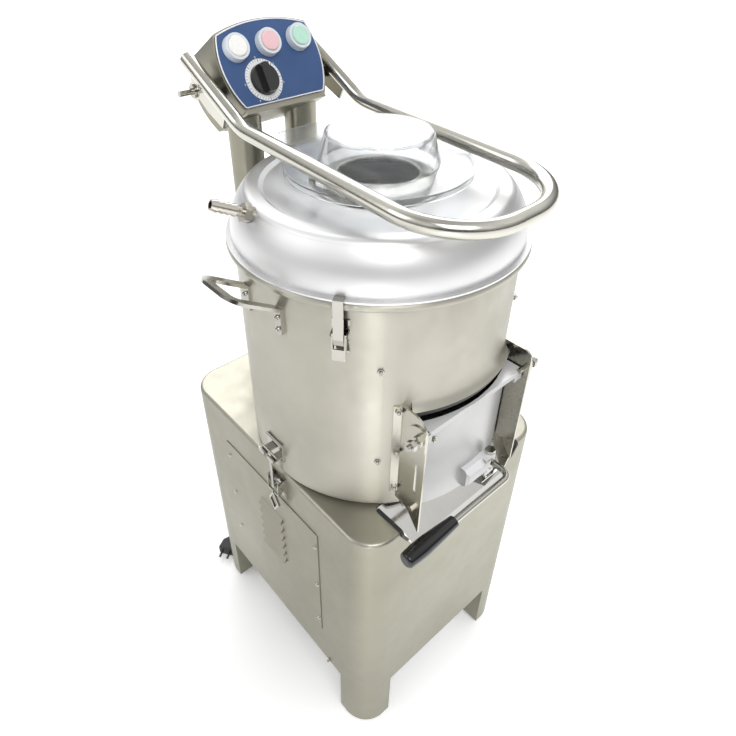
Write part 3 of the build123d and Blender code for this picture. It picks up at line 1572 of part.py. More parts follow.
def make_knob():
    base = panel_place(dial_x, dial_height, fascia_thickness + dial_thickness + swing_gap)
    skirt = turned((0, 0), (knob_radius, 0), (knob_radius - knob_pointer, knob_skirt), (0, knob_skirt))
    bar = extrude(Rectangle(2 * knob_bar_half, 2 * knob_radius - 2 * knob_pointer), knob_height)
    bar &= turned((0, 0), (knob_radius - knob_pointer, 0), (knob_radius - 2 * knob_pointer, knob_height), (0, knob_height))
    stem = Pos(0, 0, -dial_thickness - swing_gap - fascia_thickness) * Cylinder(
        timer_stem_radius, knob_skirt, align=(Align.CENTER, Align.CENTER, Align.MIN))
    return base * (skirt + bar + stem)


def make_bow_pivots():
    """Bush, pin, washer and pin tail on each side of the control head."""
    inner_face = bow_half_width - bow_ear / 2 - seat_gap - seat_gap
    outer_face = bow_half_width + bow_ear / 2 + seat_gap + seat_gap
    origin = (fascia_top_half, bow_pivot_y, bow_pivot_z)
    body = pin(origin, (1, 0, 0), bow_bush_radius, inner_face - fascia_top_half)
    body += pin(origin, (1, 0, 0), bow_pin_radius, outer_face - fascia_top_half)
    body += pin((outer_face, bow_pivot_y, bow_pivot_z), (1, 0, 0), bow_washer_radius, bow_washer)
    body += pin((outer_face, bow_pivot_y, bow_pivot_z), (1, 0, 0), bow_pin_tail_radius, bow_pin_tail)
    body -= extrude(head_front * head_outline(0, head_chin), -head_depth)
    return both_sides(body)


def make_bow_stops():
    """Rubber-sleeved pegs that the bow's legs rest on."""
    y, z = along_ear(bow_stop_along, bow_radius + bow_stop_radius + seat_gap + seat_gap)
    peg = pin((fascia_top_half, y, z), (1, 0, 0), bow_stop_radius,
              bow_half_width - bow_ear / 2 - bow_stop_inset - fascia_top_half)
    peg -= extrude(head_front * head_outline(0, head_chin), -head_depth)
    return both_sides(peg)


# Toggle latches between lid and drum, made at the door side and turned into place

def make_latch_base():
    reach = drum_radius + latch_pivot_reach
    half = latch_base_half
    inner = half - latch_cheek
    seat = drum_radius + latch_base_plate
    plate = block((-half, -seat, latch_base_bottom), (half, -drum_radius / 2, latch_base_top))
    for side in mirror_x:
        low, high = sorted((side * inner, side * half))
        cheek = side_plate(
            [(-drum_radius / 2, latch_pivot_z + 3 * latch_pin), (-reach - latch_pin, latch_pivot_z + 2 * latch_pin),
             (-reach - 2 * latch_pin, latch_pivot_z), (-reach - latch_pin, latch_pivot_z - 2 * latch_pin),
             (-drum_radius / 2, latch_base_bottom + latch_eye)], low, high)
        plate += cheek
    plate -= ring(drum_radius, 0, latch_base_bottom - overrun, latch_base_top + overrun)
    plate += pin((-half, -reach, latch_pivot_z), (1, 0, 0), latch_pin, 2 * half)
    return plate


def make_latch_lever():
    reach = drum_radius + latch_pivot_reach
    bail_y = drum_radius + latch_bail_reach
    bail_z = latch_pivot_z - latch_bail_drop
    inner = latch_lever_half - latch_cheek
    body = None
    for side in mirror_x:
        low, high = sorted((side * inner, side * latch_lever_half))
        cheek = side_plate(
            [(-reach + latch_eye, latch_pivot_z + latch_eye), (-reach - latch_eye, latch_pivot_z + latch_eye),
             (-reach - latch_eye - latch_cheek, bail_z), (-reach - latch_eye - latch_cheek, latch_lever_tail),
             (-reach - latch_eye, latch_lever_tail), (-bail_y + latch_eye, bail_z - latch_eye)], low, high)
        body = cheek if body is None else body + cheek
    front = -reach - latch_eye - latch_cheek
    body += block((-latch_lever_half, front, latch_lever_tail),
                  (latch_lever_half, front + latch_cheek, bail_z - latch_eye - latch_eye))
    body += pin((-inner, -bail_y, bail_z), (1, 0, 0), latch_pin, 2 * inner)
    body -= pin((-latch_base_half, -reach, latch_pivot_z), (1, 0, 0), latch_pin + running_gap, 2 * latch_base_half)
    return body


def make_latch_strap():
    bail_y = drum_radius + latch_bail_reach
    bail_z = latch_pivot_z - latch_bail_drop
    half = latch_strap_half
    front = drum_radius + latch_strap_reach
    hook_z = lid_base + lid_sheet + latch_hook_gap
    strap = side_plate(
        [(-bail_y, bail_z - latch_eye), (-bail_y - latch_eye, bail_z), (-front - latch_strap, bail_z + 2 * latch_eye),
         (-front - latch_strap, hook_z + latch_strap), (-front + latch_hook_depth, hook_z + latch_strap),
         (-front + latch_hook_depth, hook_z), (-front, hook_z), (-front, bail_z + 3 * latch_eye),
         (-bail_y + latch_eye / 2, bail_z + latch_eye)], -half, half)
    strap += pin((-half, -bail_y, bail_z), (1, 0, 0), latch_eye, 2 * half)
    return strap - pin((-2 * half, -bail_y, bail_z), (1, 0, 0), latch_pin + running_gap, 4 * half)


# Draw latches between drum and cabinet

def make_draw_base():
    wall = cabinet_half_width
    reach = wall + draw_pivot_reach
    half = draw_base_half
    plate = block((-half, -wall - draw_base_plate, draw_base_bottom), (half, -wall, draw_base_top))
    for side in mirror_x:
        low, high = sorted((side * (half - draw_cheek), side * half))
        plate += side_plate(
            [(-wall, draw_pivot_z + 4 * draw_pin), (-reach, draw_pivot_z + 2 * draw_pin),
             (-reach - 2 * draw_pin, draw_pivot_z), (-reach, draw_pivot_z - 2 * draw_pin), (-wall, draw_base_bottom)],
            low, high)
    return plate + pin((-half, -reach, draw_pivot_z), (1, 0, 0), draw_pin, 2 * half)


def make_draw_lever():
    wall = cabinet_half_width
    reach = wall + draw_pivot_reach
    bail_z = draw_pivot_z - draw_bail_drop
    inner = draw_lever_half - draw_cheek
    front = reach + draw_eye
    body = block((-draw_lever_half, -front - draw_cheek, draw_lever_foot),
                 (draw_lever_half, -front, draw_lever_foot + draw_lever_bridge))
    for side in mirror_x:
        low, high = sorted((side * inner, side * draw_lever_half))
        body += side_plate(
            [(-reach + draw_eye, draw_pivot_z + draw_eye), (-front, draw_pivot_z + draw_eye),
             (-front - draw_cheek, bail_z), (-front - draw_cheek, draw_lever_foot), (-front + draw_cheek, draw_lever_foot),
             (-reach + draw_eye, bail_z - draw_eye)], low, high)
    body += pin((-inner, -reach, bail_z), (1, 0, 0), draw_pin, 2 * inner)
    y = -front - draw_cheek / 2
    points = [(0, draw_lever_foot + draw_loop_wire), (draw_loop_half, (draw_lever_foot + draw_loop_bottom) / 2),
              (0, draw_loop_bottom), (-draw_loop_half, (draw_lever_foot + draw_loop_bottom) / 2)]
    outer = Polygon(*points, align=None)
    hole = offset(outer, -2 * draw_loop_wire, kind=Kind.INTERSECTION)
    plane = Plane(origin=(0, y + draw_loop_wire, 0), x_dir=(1, 0, 0), z_dir=(0, -1, 0))
    body += extrude(plane * (outer - hole), 2 * draw_loop_wire, dir=(0, -1, 0))
    return body - pin((-draw_base_half, -reach, draw_pivot_z), (1, 0, 0), draw_pin + running_gap, 2 * draw_base_half)


def make_draw_bail():
    reach = cabinet_half_width + draw_pivot_reach
    bail_z = draw_pivot_z - draw_bail_drop
    body = pin((-draw_eye_half, -reach, bail_z), (1, 0, 0), draw_eye, 2 * draw_eye_half)
    body += pin((0, -draw_rod_y, bail_z), (0, 0, 1), draw_rod, draw_bar_z - bail_z)
    body += pin((-draw_bar_half, -draw_rod_y, draw_bar_z), (1, 0, 0), draw_rod, 2 * draw_bar_half)
    return body - pin((-2 * draw_eye_half, -reach, bail_z), (1, 0, 0), draw_pin + running_gap, 4 * draw_eye_half)


def make_draw_keeper():
    seat = draw_rod_y + draw_rod + draw_keeper_gap
    outer = seat + draw_keeper_plate
    half = draw_keeper_half
    low = draw_keeper_bottom
    shelf = draw_bar_z - draw_rod - swing_gap
    top = shelf + draw_keeper_lip
    crest = top + draw_keeper_rise
    plate = block((-half, -drum_radius - draw_keeper_plate, low), (half, -drum_radius / 2, crest))
    plate += pin((-half, -drum_radius - draw_keeper_plate, crest), (1, 0, 0), draw_keeper_roll, 2 * half)
    plate += block((-half, -outer, shelf - draw_keeper_plate), (half, -drum_radius / 2, shelf))
    plate += block((-half, -outer, shelf - draw_keeper_plate), (half, -seat, top))
    plate -= block((-draw_slot_half, -outer - overrun, shelf - draw_keeper_plate - overrun),
                   (draw_slot_half, -drum_radius - draw_keeper_plate, top + overrun))
    return plate - ring(drum_radius, 0, low - overrun, crest + 2 * overrun)


# Mains cord

def make_gland():
    seat = cabinet_back
    body = turned_about(
        (gland_x, seat, gland_z), (0, 1, 0),
        (cord_diameter / 2, -cabinet_sheet - gland_body / 3),
        (gland_radius - gland_nose_radius + cord_diameter / 2, -cabinet_sheet - gland_body / 3),
        (gland_radius - gland_nose_radius + cord_diameter / 2, 0), (gland_radius, 0), (gland_radius, gland_body),
        (gland_nose_radius, gland_body + gland_nose), (cord_diameter / 2, gland_body + gland_nose),
    )
    fill = pin((gland_x, seat - cabinet_sheet - gland_body / 3, gland_z), (0, 1, 0), cord_diameter / 2,
               cabinet_sheet + gland_body / 3 + gland_body + gland_nose)
    return body + fill


def biarc(start, start_heading, end, end_heading):
    """Two arcs that join two points with given headings."""
    gap = end - start
    both = start_heading + end_heading
    spread = 2 * (1 - start_heading.dot(end_heading))
    if abs(spread) < 1e-9:
        reach = gap.dot(gap) / (4 * gap.dot(end_heading))
    else:
        lean = gap.dot(both)
        reach = (-lean + sqrt(lean * lean + spread * gap.dot(gap))) / spread
    near = start + start_heading * reach
    far = end - end_heading * reach
    middle = (near + far) * 0.5
    mid_heading = (far - near).normalized()
    return [TangentArc(start, middle, tangent=start_heading), TangentArc(middle, end, tangent=mid_heading)]


def coil_point(turn):
    """Centre line of the coil after so many turns: inwards below, outwards above."""
    middle = coil_total / 2
    widest = coil_mid_radius + coil_pitch * middle / 2
    share = min(max((turn - middle) / coil_climb + 1 / 2, 0), 1)
    radius = widest - coil_pitch * (middle - abs(middle - turn))
    height = cord_diameter / 2 + coil_pitch * (share - sin(2 * pi * share) / (2 * pi))
    angle = 2 * pi * turn - pi / 2
    return Vector(coil_x + radius * cos(angle), coil_y + radius * sin(angle), height)


coil_climb = 0.5
coil_total = 2 * coil_turns + coil_climb


def coil_heading(turn):
    """Direction of the coil's centre line."""
    step = 1e-4
    return (coil_point(min(turn + step, coil_total)) - coil_point(max(turn - step, 0))).normalized()


def make_coil():
    count = int(round(coil_total * 4))
    stops = [coil_total * i / count for i in range(count + 1)]
    points = [coil_point(t) for t in stops]
    headings = [coil_heading(t) for t in stops]
    headings[0] = Vector(headings[0].X, headings[0].Y, 0).normalized()
    headings[-1] = Vector(headings[-1].X, headings[-1].Y, 0).normalized()
    first = points[0] - headings[0] * coil_lead
    last = points[-1] + headings[-1] * coil_lead
    edges = [Line(first, points[0])]
    for i in range(count):
        edges += biarc(points[i], headings[i], points[i + 1], headings[i + 1])
    edges.append(Line(points[-1], last))
    path = Wire([edge for part in edges for edge in part.edges()])
    tube = sweep(Plane(origin=first, z_dir=headings[0]) * Circle(cord_diameter / 2), path=path)
    samples = [coil_point(coil_total * i / 720) for i in range(721)]
    least = min(
        (samples[i] - samples[j]).length
        for i in range(0, 721, 3) for j in range(i + 80, 721, 3)
    )
    print("coil: length %.0f mm, least gap %.2f mm" % (path.length, least - cord_diameter))
    return tube, first, headings[0], last, headings[-1], path.length


def route(points, label):
    """A tube along straight runs joined by tangent arcs as large as the runs allow."""
    vectors = [Vector(*p) for p in points]
    radii = []
    for before, here, after in zip(vectors, vectors[1:], vectors[2:]):
        turn = radians((here - before).get_angle(after - here))
        radii.append(0.45 * min((here - before).length, (after - here).length) / tan(turn / 2))
    path = FilletPolyline(*vectors, radius=radii)
    tube = sweep(Plane(origin=vectors[0], z_dir=vectors[1] - vectors[0]) * Circle(cord_diameter / 2), path=path)
    volume = pi * (cord_diameter / 2) ** 2 * path.length
    print(label, "length %.0f mm, radii" % path.length, [round(r) for r in radii],
          "volume ratio %.4f" % (tube.volume / volume))
    return tube, path.length


def plug_frame():
    """The plug's pin end and its heading, on the floor."""
    heading = radians(plug_heading)
    return Vector(plug_tip[0], plug_tip[1], plug_height), Vector(cos(heading), sin(heading), 0)


def make_plug():
    tip, heading = plug_frame()
    face = tip - heading * plug_pin_length
    back = face - heading * plug_body_length
    side = Vector(-heading.Y, heading.X, 0)
    front = Plane(origin=face, x_dir=side, z_dir=-heading)
    sections = [
        front * RectangleRounded(plug_face, 2 * plug_height, plug_round),
        front.offset(plug_body_length * plug_shoulder_share) * RectangleRounded(plug_width, 2 * plug_height, plug_round),
        front.offset(plug_body_length) * RectangleRounded(2 * plug_tail_radius, 2 * plug_tail_radius, plug_round / 2),
    ]
    body = loft(sections, ruled=True)
    body += turned_about(back, -heading, (0, 0), (plug_tail_radius, 0), (plug_tail_end, plug_tail_length),
                         (0, plug_tail_length))
    for sign in mirror_x:
        start = face + side * sign * plug_pin_half_spacing
        body += pin(start, heading, plug_pin_radius, plug_pin_length)
    return body, back - heading * plug_tail_length, -heading


# Building

keep("base_cabinet", make_cabinet())
keep("corner_legs", make_legs())
keep("foot_pads", make_feet())
keep("service_panel", make_service_panel())
keep("panel_screws", make_panel_screws())
keep("motor_shelf", make_shelf())
keep("drive_motor", make_motor())
keep("bearing_housing", make_housing())
keep("shaft_bearings", group([bearing(housing_bottom + bearing_inset),
                              bearing(housing_top - housing_lip - bearing_width)]))
keep("shaft_seal", ring(seal_radius, shaft_radius + running_gap, housing_top, housing_top + seal_height))
keep("drain_outlet", make_drain())
keep("discharge_chute", make_chute())
keep("chute_edge_trim", make_chute_trim())
keep("drive_belt", make_belt())
keep("drum_shell", make_drum())
keep("abrasive_liner", make_liner())
keep("drum_fasteners", make_fasteners())
keep("drum_handles", make_handles())
keep("door_seal", make_door_seal())
keep("door_bracket_left", make_bracket(-1, bracket_round_left))
keep("door_bracket_right", make_bracket(1, bracket_round_right))
keep("door_pivot_bolts", make_pivot_bolts())
keep("lid_dome", make_lid())
keep("feed_collar", make_collar())
keep("water_inlet_nozzle", make_nozzle())
keep("control_columns", make_columns())
keep("control_box", make_head_box())
keep("control_fascia", make_fascia())
keep("timer_dial", make_dial())
keep("panel_switches", make_switches())
keep("bow_pivots", make_bow_pivots())
keep("bow_stops", make_bow_stops())
keep("lid_latch_bases", group([around(angle, make_latch_base()) for angle in latch_angles]))
keep("drum_latch_bases", group([around(90 * side, make_draw_base()) for side in mirror_x]))
keep("drum_latch_keepers", group([around(90 * side, make_draw_keeper()) for side in mirror_x]))
keep("cord_gland", make_gland())

keep("guard_bow", make_bow())
keep("feed_cover", make_cover())
keep("discharge_door", make_door())
keep("door_handle", make_handle_rod())
keep("door_grip", make_grip())
for name, x in (("button_white", -button_spacing), ("button_red", 0), ("button_green", button_spacing)):
    keep(name, make_button(x))
keep("timer_knob", make_knob())
for name, angle in zip(("front", "rear"), latch_angles):
    keep("lid_latch_lever_" + name, around(angle, make_latch_lever()))
    keep("lid_latch_strap_" + name, around(angle, make_latch_strap()))
for name, side in (("left", -1), ("right", 1)):
    keep("drum_latch_lever_" + name, around(90 * side, make_draw_lever()))
    keep("drum_latch_bail_" + name, around(90 * side, make_draw_bail()))
keep("peeling_disc", make_disc())
keep("drive_shaft", make_shaft())
keep("driven_pulley", make_driven_pulley())
keep("motor_pulley", make_motor_pulley())

coil, coil_in, coil_in_heading, coil_out, coil_out_heading, coil_length = make_coil()
plug, plug_end, plug_out = make_plug()
gland_end = Vector(gland_x, cabinet_back + gland_body + gland_nose, gland_z)
feed_points = [gland_end + Vector(*step) for step in cord_drop_steps]
feed_points += [coil_in - coil_in_heading * cord_lead_in]
feed_points += [coil_in]
feed, feed_length = route(feed_points, "cord from the gland:")
tail_points = [coil_out, coil_out + coil_out_heading * cord_lead_out]
tail_points += [plug_end + plug_out * along + Vector(0, 0, drop) for along, drop in cord_rise_steps]
tail_points += [plug_end]
tail, tail_length = route(tail_points, "cord to the plug:")
print("whole cord %.0f mm" % (feed_length + coil_length + tail_length))

# The origin is under the middle of the machine, on the floor
machine_box = group(list(pieces.values())).bounding_box()
centre = (machine_box.min + machine_box.max) / 2
print("machine box", machine_box.min, machine_box.max)
keep("power_cord", group([feed, tail]))
keep("cord_coil", coil)
keep("power_plug", plug)

os.makedirs("parts", exist_ok=True)
for name, shape in pieces.items():
    export_step(Pos(-centre.X, -centre.Y, 0) * shape, "parts/" + name + ".step")
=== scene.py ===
from math import cos, pi, radians, sin

import bmesh
import bpy
from mathutils import Matrix, Vector
from mathutils.bvhtree import BVHTree


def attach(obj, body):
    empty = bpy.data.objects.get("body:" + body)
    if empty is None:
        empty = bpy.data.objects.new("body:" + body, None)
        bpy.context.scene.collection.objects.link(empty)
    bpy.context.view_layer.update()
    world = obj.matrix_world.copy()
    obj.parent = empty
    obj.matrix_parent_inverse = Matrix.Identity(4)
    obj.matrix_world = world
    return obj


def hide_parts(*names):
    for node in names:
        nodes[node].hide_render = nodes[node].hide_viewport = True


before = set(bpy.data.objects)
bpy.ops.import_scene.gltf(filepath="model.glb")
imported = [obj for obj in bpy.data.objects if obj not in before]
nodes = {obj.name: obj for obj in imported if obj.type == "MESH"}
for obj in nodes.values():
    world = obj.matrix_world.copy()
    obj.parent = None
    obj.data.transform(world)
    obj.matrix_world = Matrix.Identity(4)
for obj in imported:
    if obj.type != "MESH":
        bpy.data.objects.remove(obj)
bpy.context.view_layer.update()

# Places are written in millimetres from the drum's axis, as in the part's source
front_shift = 38.302
mm = 0.001


def at(x, y, z):
    """A point in metres in the shared frame."""
    return Vector((x, y - front_shift, z)) * mm


# Camera, as fitted to the photograph

camera_place = (-535.42, -558.41, 1325.69)
camera_yaw = -39.56
camera_pitch = 35.72
camera_roll = 0.907
focal_pixels = 606.52
image_pixels = 736
principal = (337.76, 322.76)
sensor_width = 36.0
view_end = 50.0


def make_camera():
    """The camera that takes the photograph's view."""
    yaw, pitch, roll = (radians(v) for v in (camera_yaw, camera_pitch, camera_roll))
    ahead = Vector((-sin(yaw) * cos(pitch), cos(yaw) * cos(pitch), -sin(pitch)))
    level = Vector((cos(yaw), sin(yaw), 0))
    down = ahead.cross(level)
    right = cos(roll) * level + sin(roll) * down
    below = -sin(roll) * level + cos(roll) * down
    data = bpy.data.cameras.new("photo_camera")
    data.sensor_width = sensor_width
    data.sensor_fit = "HORIZONTAL"
    data.lens = focal_pixels * sensor_width / image_pixels
    data.shift_x = (image_pixels / 2 - principal[0]) / image_pixels
    data.shift_y = (principal[1] - image_pixels / 2) / image_pixels
    data.clip_end = view_end
    camera = bpy.data.objects.new("photo_camera", data)
    bpy.context.collection.objects.link(camera)
    place = at(*camera_place)
    camera.matrix_world = Matrix((
        (right.x, -below.x, -ahead.x, place.x),
        (right.y, -below.y, -ahead.y, place.y),
        (right.z, -below.z, -ahead.z, place.z),
        (0, 0, 0, 1),
    ))
    bpy.context.scene.camera = camera


make_camera()


# Material helpers

# A noise texture keeps mostly between these two values
noise_low = 0.25
noise_high = 0.75
# The mix node's colour sockets, which share their names with its other kinds
mix_first = 6
mix_second = 7
mix_result = 2


class Nodes:
    """Adds shader nodes to a node tree."""

    def __init__(self, tree, coordinates):
        self.tree = tree
        self.coords = self.new("ShaderNodeTexCoord").outputs[coordinates]

    def new(self, kind, **settings):
        node = self.tree.nodes.new(kind)
        for key, value in settings.items():
            setattr(node, key, value)
        return node

    def link(self, source, target):
        self.tree.links.new(source, target)

    def feed(self, node, name, value):
        """Sets an input or links a socket to it."""
        socket = node.inputs[name]
        if isinstance(value, bpy.types.NodeSocket):
            self.link(value, socket)
        else:
            socket.default_value = value

    def math(self, operation, a, b=0.0):
        node = self.new("ShaderNodeMath", operation=operation)
        self.feed(node, 0, a)
        self.feed(node, 1, b)
        return node.outputs[0]

    def vector(self, operation, a, b=None):
        """A vector operation that gives a number."""
        node = self.new("ShaderNodeVectorMath", operation=operation)
        self.feed(node, 0, a)
        if b is not None:
            self.feed(node, 1, b)
        return node.outputs["Value"]

    def split(self, vector):
        """The X, Y and Z sockets of a vector."""
        node = self.new("ShaderNodeSeparateXYZ")
        self.link(vector, node.inputs[0])
        return node.outputs

    def stretch(self, scale, source=None):
        node = self.new("ShaderNodeMapping")
        self.link(source or self.coords, node.inputs["Vector"])
        node.inputs["Scale"].default_value = scale
        return node.outputs["Vector"]

    def turned(self, centre):
        """Distance from a vertical axis, angle round it, and height."""
        place = self.split(self.coords)
        x = self.math("SUBTRACT", place["X"], centre.x)
        y = self.math("SUBTRACT", place["Y"], centre.y)
        angle = self.math("ARCTAN2", x, y)
        squares = self.math("ADD", self.math("MULTIPLY", x, x), self.math("MULTIPLY", y, y))
        join = self.new("ShaderNodeCombineXYZ")
        self.link(self.math("SQRT", squares), join.inputs["X"])
        self.link(angle, join.inputs["Y"])
        self.link(place["Z"], join.inputs["Z"])
        return join.outputs[0]

    def noise(self, vector, scale=1.0, detail=3.0, roughness=0.5):
        node = self.new("ShaderNodeTexNoise")
        self.link(vector, node.inputs["Vector"])
        node.inputs["Scale"].default_value = scale
        node.inputs["Detail"].default_value = detail
        node.inputs["Roughness"].default_value = roughness
        return node.outputs["Fac"]

    def map_range(self, value, start, end, low, high, kind="LINEAR"):
        node = self.new("ShaderNodeMapRange", interpolation_type=kind)
        self.feed(node, "Value", value)
        node.inputs["From Min"].default_value = start
        node.inputs["From Max"].default_value = end
        node.inputs["To Min"].default_value = low
        node.inputs["To Max"].default_value = high
        return node.outputs["Result"]

    def ramp(self, factor, low, high):
        """Rescales a noise to the range between low and high."""
        return self.map_range(factor, noise_low, noise_high, low, high)

    def soft_step(self, value, start, end, low, high):
        """Goes smoothly from low at start to high at end."""
        return self.map_range(value, start, end, low, high, kind="SMOOTHSTEP")

    def blend(self, factor, first, second):
        """Mixes two colours."""
        node = self.new("ShaderNodeMix", data_type="RGBA")
        self.feed(node, "Factor", factor)
        for place, value in ((mix_first, first), (mix_second, second)):
            is_socket = isinstance(value, bpy.types.NodeSocket)
            self.feed(node, place, value if is_socket else (*value, 1.0))
        return node.outputs[mix_result]

    def bump(self, height, strength, distance):
        node = self.new("ShaderNodeBump")
        self.link(height, node.inputs["Height"])
        node.inputs["Strength"].default_value = strength
        node.inputs["Distance"].default_value = distance
        return node.outputs["Normal"]


class Material(Nodes):
    """Builds one procedural material node by node."""

    def __init__(self, name):
        self.material = bpy.data.materials.new(name)
        self.material.use_nodes = True
        super().__init__(self.material.node_tree, "Object")
        self.shader = self.tree.nodes["Principled BSDF"]

    def set(self, **values):
        """Sets or links the shader's sockets, and returns the material."""
        for name, value in values.items():
            self.feed(self.shader, name.replace("_", " "), value)
        return self.material


fine_bump = 0.0001
coarse_bump = 0.0002
grain_bump = 0.0008
# Metal: how the smudges shift its roughness, and how much lighter the painted glint on the grain is
smudge_smooth = 0.86
smudge_rough = 1.16
glint_light = 1.12
speck_share = 9
# How upright a face's normal is where the painted top light begins and where it is full
top_light_from = 0.15
top_light_full = 0.85


def metal(name, colour, stain, roughness, grain, grain_depth, axis=None, smudge_size=6.0,
          wear=0.06, brushed=0.0, across=0.0, body=1.0, painted_top_light=None):
    """Metal with fine grain, cloudy smudges and a slightly uneven tint.

    Grain is the noise's stretch. With an axis, it runs round that axis. Brushed metal smears its
    highlights, and painted_top_light is a lighter colour painted on the faces that look up, a
    painted light from above.
    """
    m = Material(name)
    fine = m.noise(m.stretch(grain, m.turned(axis) if axis else None), detail=2.0, roughness=0.6)
    cloud = m.noise(m.coords, scale=smudge_size, detail=4.0, roughness=0.55)
    speck = m.noise(m.coords, scale=smudge_size * speck_share, detail=3.0, roughness=0.6)
    # The grain's lines, a real texture, are painted a little lighter: a painted glint
    grain_glint = tuple(min(1.0, c * glint_light) for c in colour)
    tint = m.blend(m.ramp(cloud, 0.0, 1.0), colour, stain)
    tint = m.blend(m.ramp(fine, 0.0, wear * 3), tint, grain_glint)
    # Painted light: faces that look up are given a lighter colour, as if lit from above
    if painted_top_light:
        rise = m.split(m.new("ShaderNodeNewGeometry").outputs["Normal"])["Z"]
        tint = m.blend(m.soft_step(rise, top_light_from, top_light_full, 0.0, 1.0), tint, painted_top_light)
    rough = m.ramp(cloud, roughness * smudge_smooth, roughness * smudge_rough)
    for mark in (speck, fine):
        rough = m.math("ADD", rough, m.ramp(mark, -wear / 2, wear / 2))
    if brushed:
        tangent = m.new("ShaderNodeTangent", direction_type="RADIAL", axis="Z").outputs[0]
        m.set(Anisotropic=brushed, Anisotropic_Rotation=across, Tangent=tangent)
    return m.set(Base_Color=tint, Metallic=body, Roughness=rough,
                 Normal=m.bump(fine, grain_depth, coarse_bump))


handled_dark = 0.92
handled_smooth = 0.8
handled_rough = 1.25


def plastic(name, colour, roughness, coat=0.0, texture=900.0, depth=0.05):
    """Moulded plastic with a faint skin texture and handling marks."""
    m = Material(name)
    skin = m.noise(m.coords, scale=texture, detail=2.0)
    cloud = m.noise(m.coords, scale=22.0)
    darker = tuple(c * handled_dark for c in colour)
    return m.set(Base_Color=m.blend(m.ramp(cloud, 0.0, 1.0), colour, darker), Metallic=0.0,
                 Roughness=m.ramp(cloud, roughness * handled_smooth, roughness * handled_rough),
                 Coat_Weight=coat, Coat_Roughness=0.06, Normal=m.bump(skin, depth, fine_bump))


dust_light = 0.03
dust_smooth = 0.85
dust_rough = 1.1


def rubber(name, colour, roughness=0.62):
    """Matt rubber with a dusty bloom."""
    m = Material(name)
    skin = m.noise(m.coords, scale=700.0, roughness=0.6)
    bloom = m.noise(m.coords, scale=30.0, detail=4.0, roughness=0.6)
    dusty = tuple(c + dust_light for c in colour)
    return m.set(Base_Color=m.blend(m.ramp(bloom, 0.0, 0.5), colour, dusty),
                 Roughness=m.ramp(bloom, roughness * dust_smooth, roughness * dust_rough),
                 Normal=m.bump(skin, 0.15, coarse_bump))


grain_scale = 420.0
grain_contrast = 1.4


def grit(name, colour, light):
    """Coarse abrasive grains in resin."""
    m = Material(name)
    cells = m.new("ShaderNodeTexVoronoi")
    m.link(m.coords, cells.inputs["Vector"])
    cells.inputs["Scale"].default_value = grain_scale
    grains = cells.outputs["Distance"]
    cloud = m.noise(m.coords, scale=60.0, detail=4.0, roughness=0.6)
    tint = m.blend(m.ramp(m.math("MULTIPLY", grains, grain_contrast), 0.0, 1.0), colour, light)
    return m.set(Base_Color=m.blend(m.ramp(cloud, 0.0, 0.4), tint, colour),
                 Roughness=m.ramp(cloud, 0.75, 0.95), Normal=m.bump(grains, 0.7, grain_bump))


def clear_plastic(name):
    """Clear moulded plastic, hazy with fine scuffs."""
    m = Material(name)
    scuff = m.noise(m.stretch((60.0, 60.0, 60.0)), detail=5.0, roughness=0.65)
    haze = m.noise(m.coords, scale=9.0)
    fine = m.noise(m.coords, scale=260.0, detail=2.0)
    return m.set(Base_Color=m.blend(m.ramp(haze, 0.0, 1.0), (0.95, 0.96, 0.97), (0.90, 0.92, 0.93)),
                 Roughness=m.ramp(scuff, 0.05, 0.16), IOR=1.47, Transmission_Weight=0.92,
                 Specular_IOR_Level=0.3, Normal=m.bump(fine, 0.02, fine_bump))


drum_axis = at(0, 0, 0)
black_tone = (0.004, 0.004, 0.004)
rubber_tone = (0.016, 0.016, 0.017)
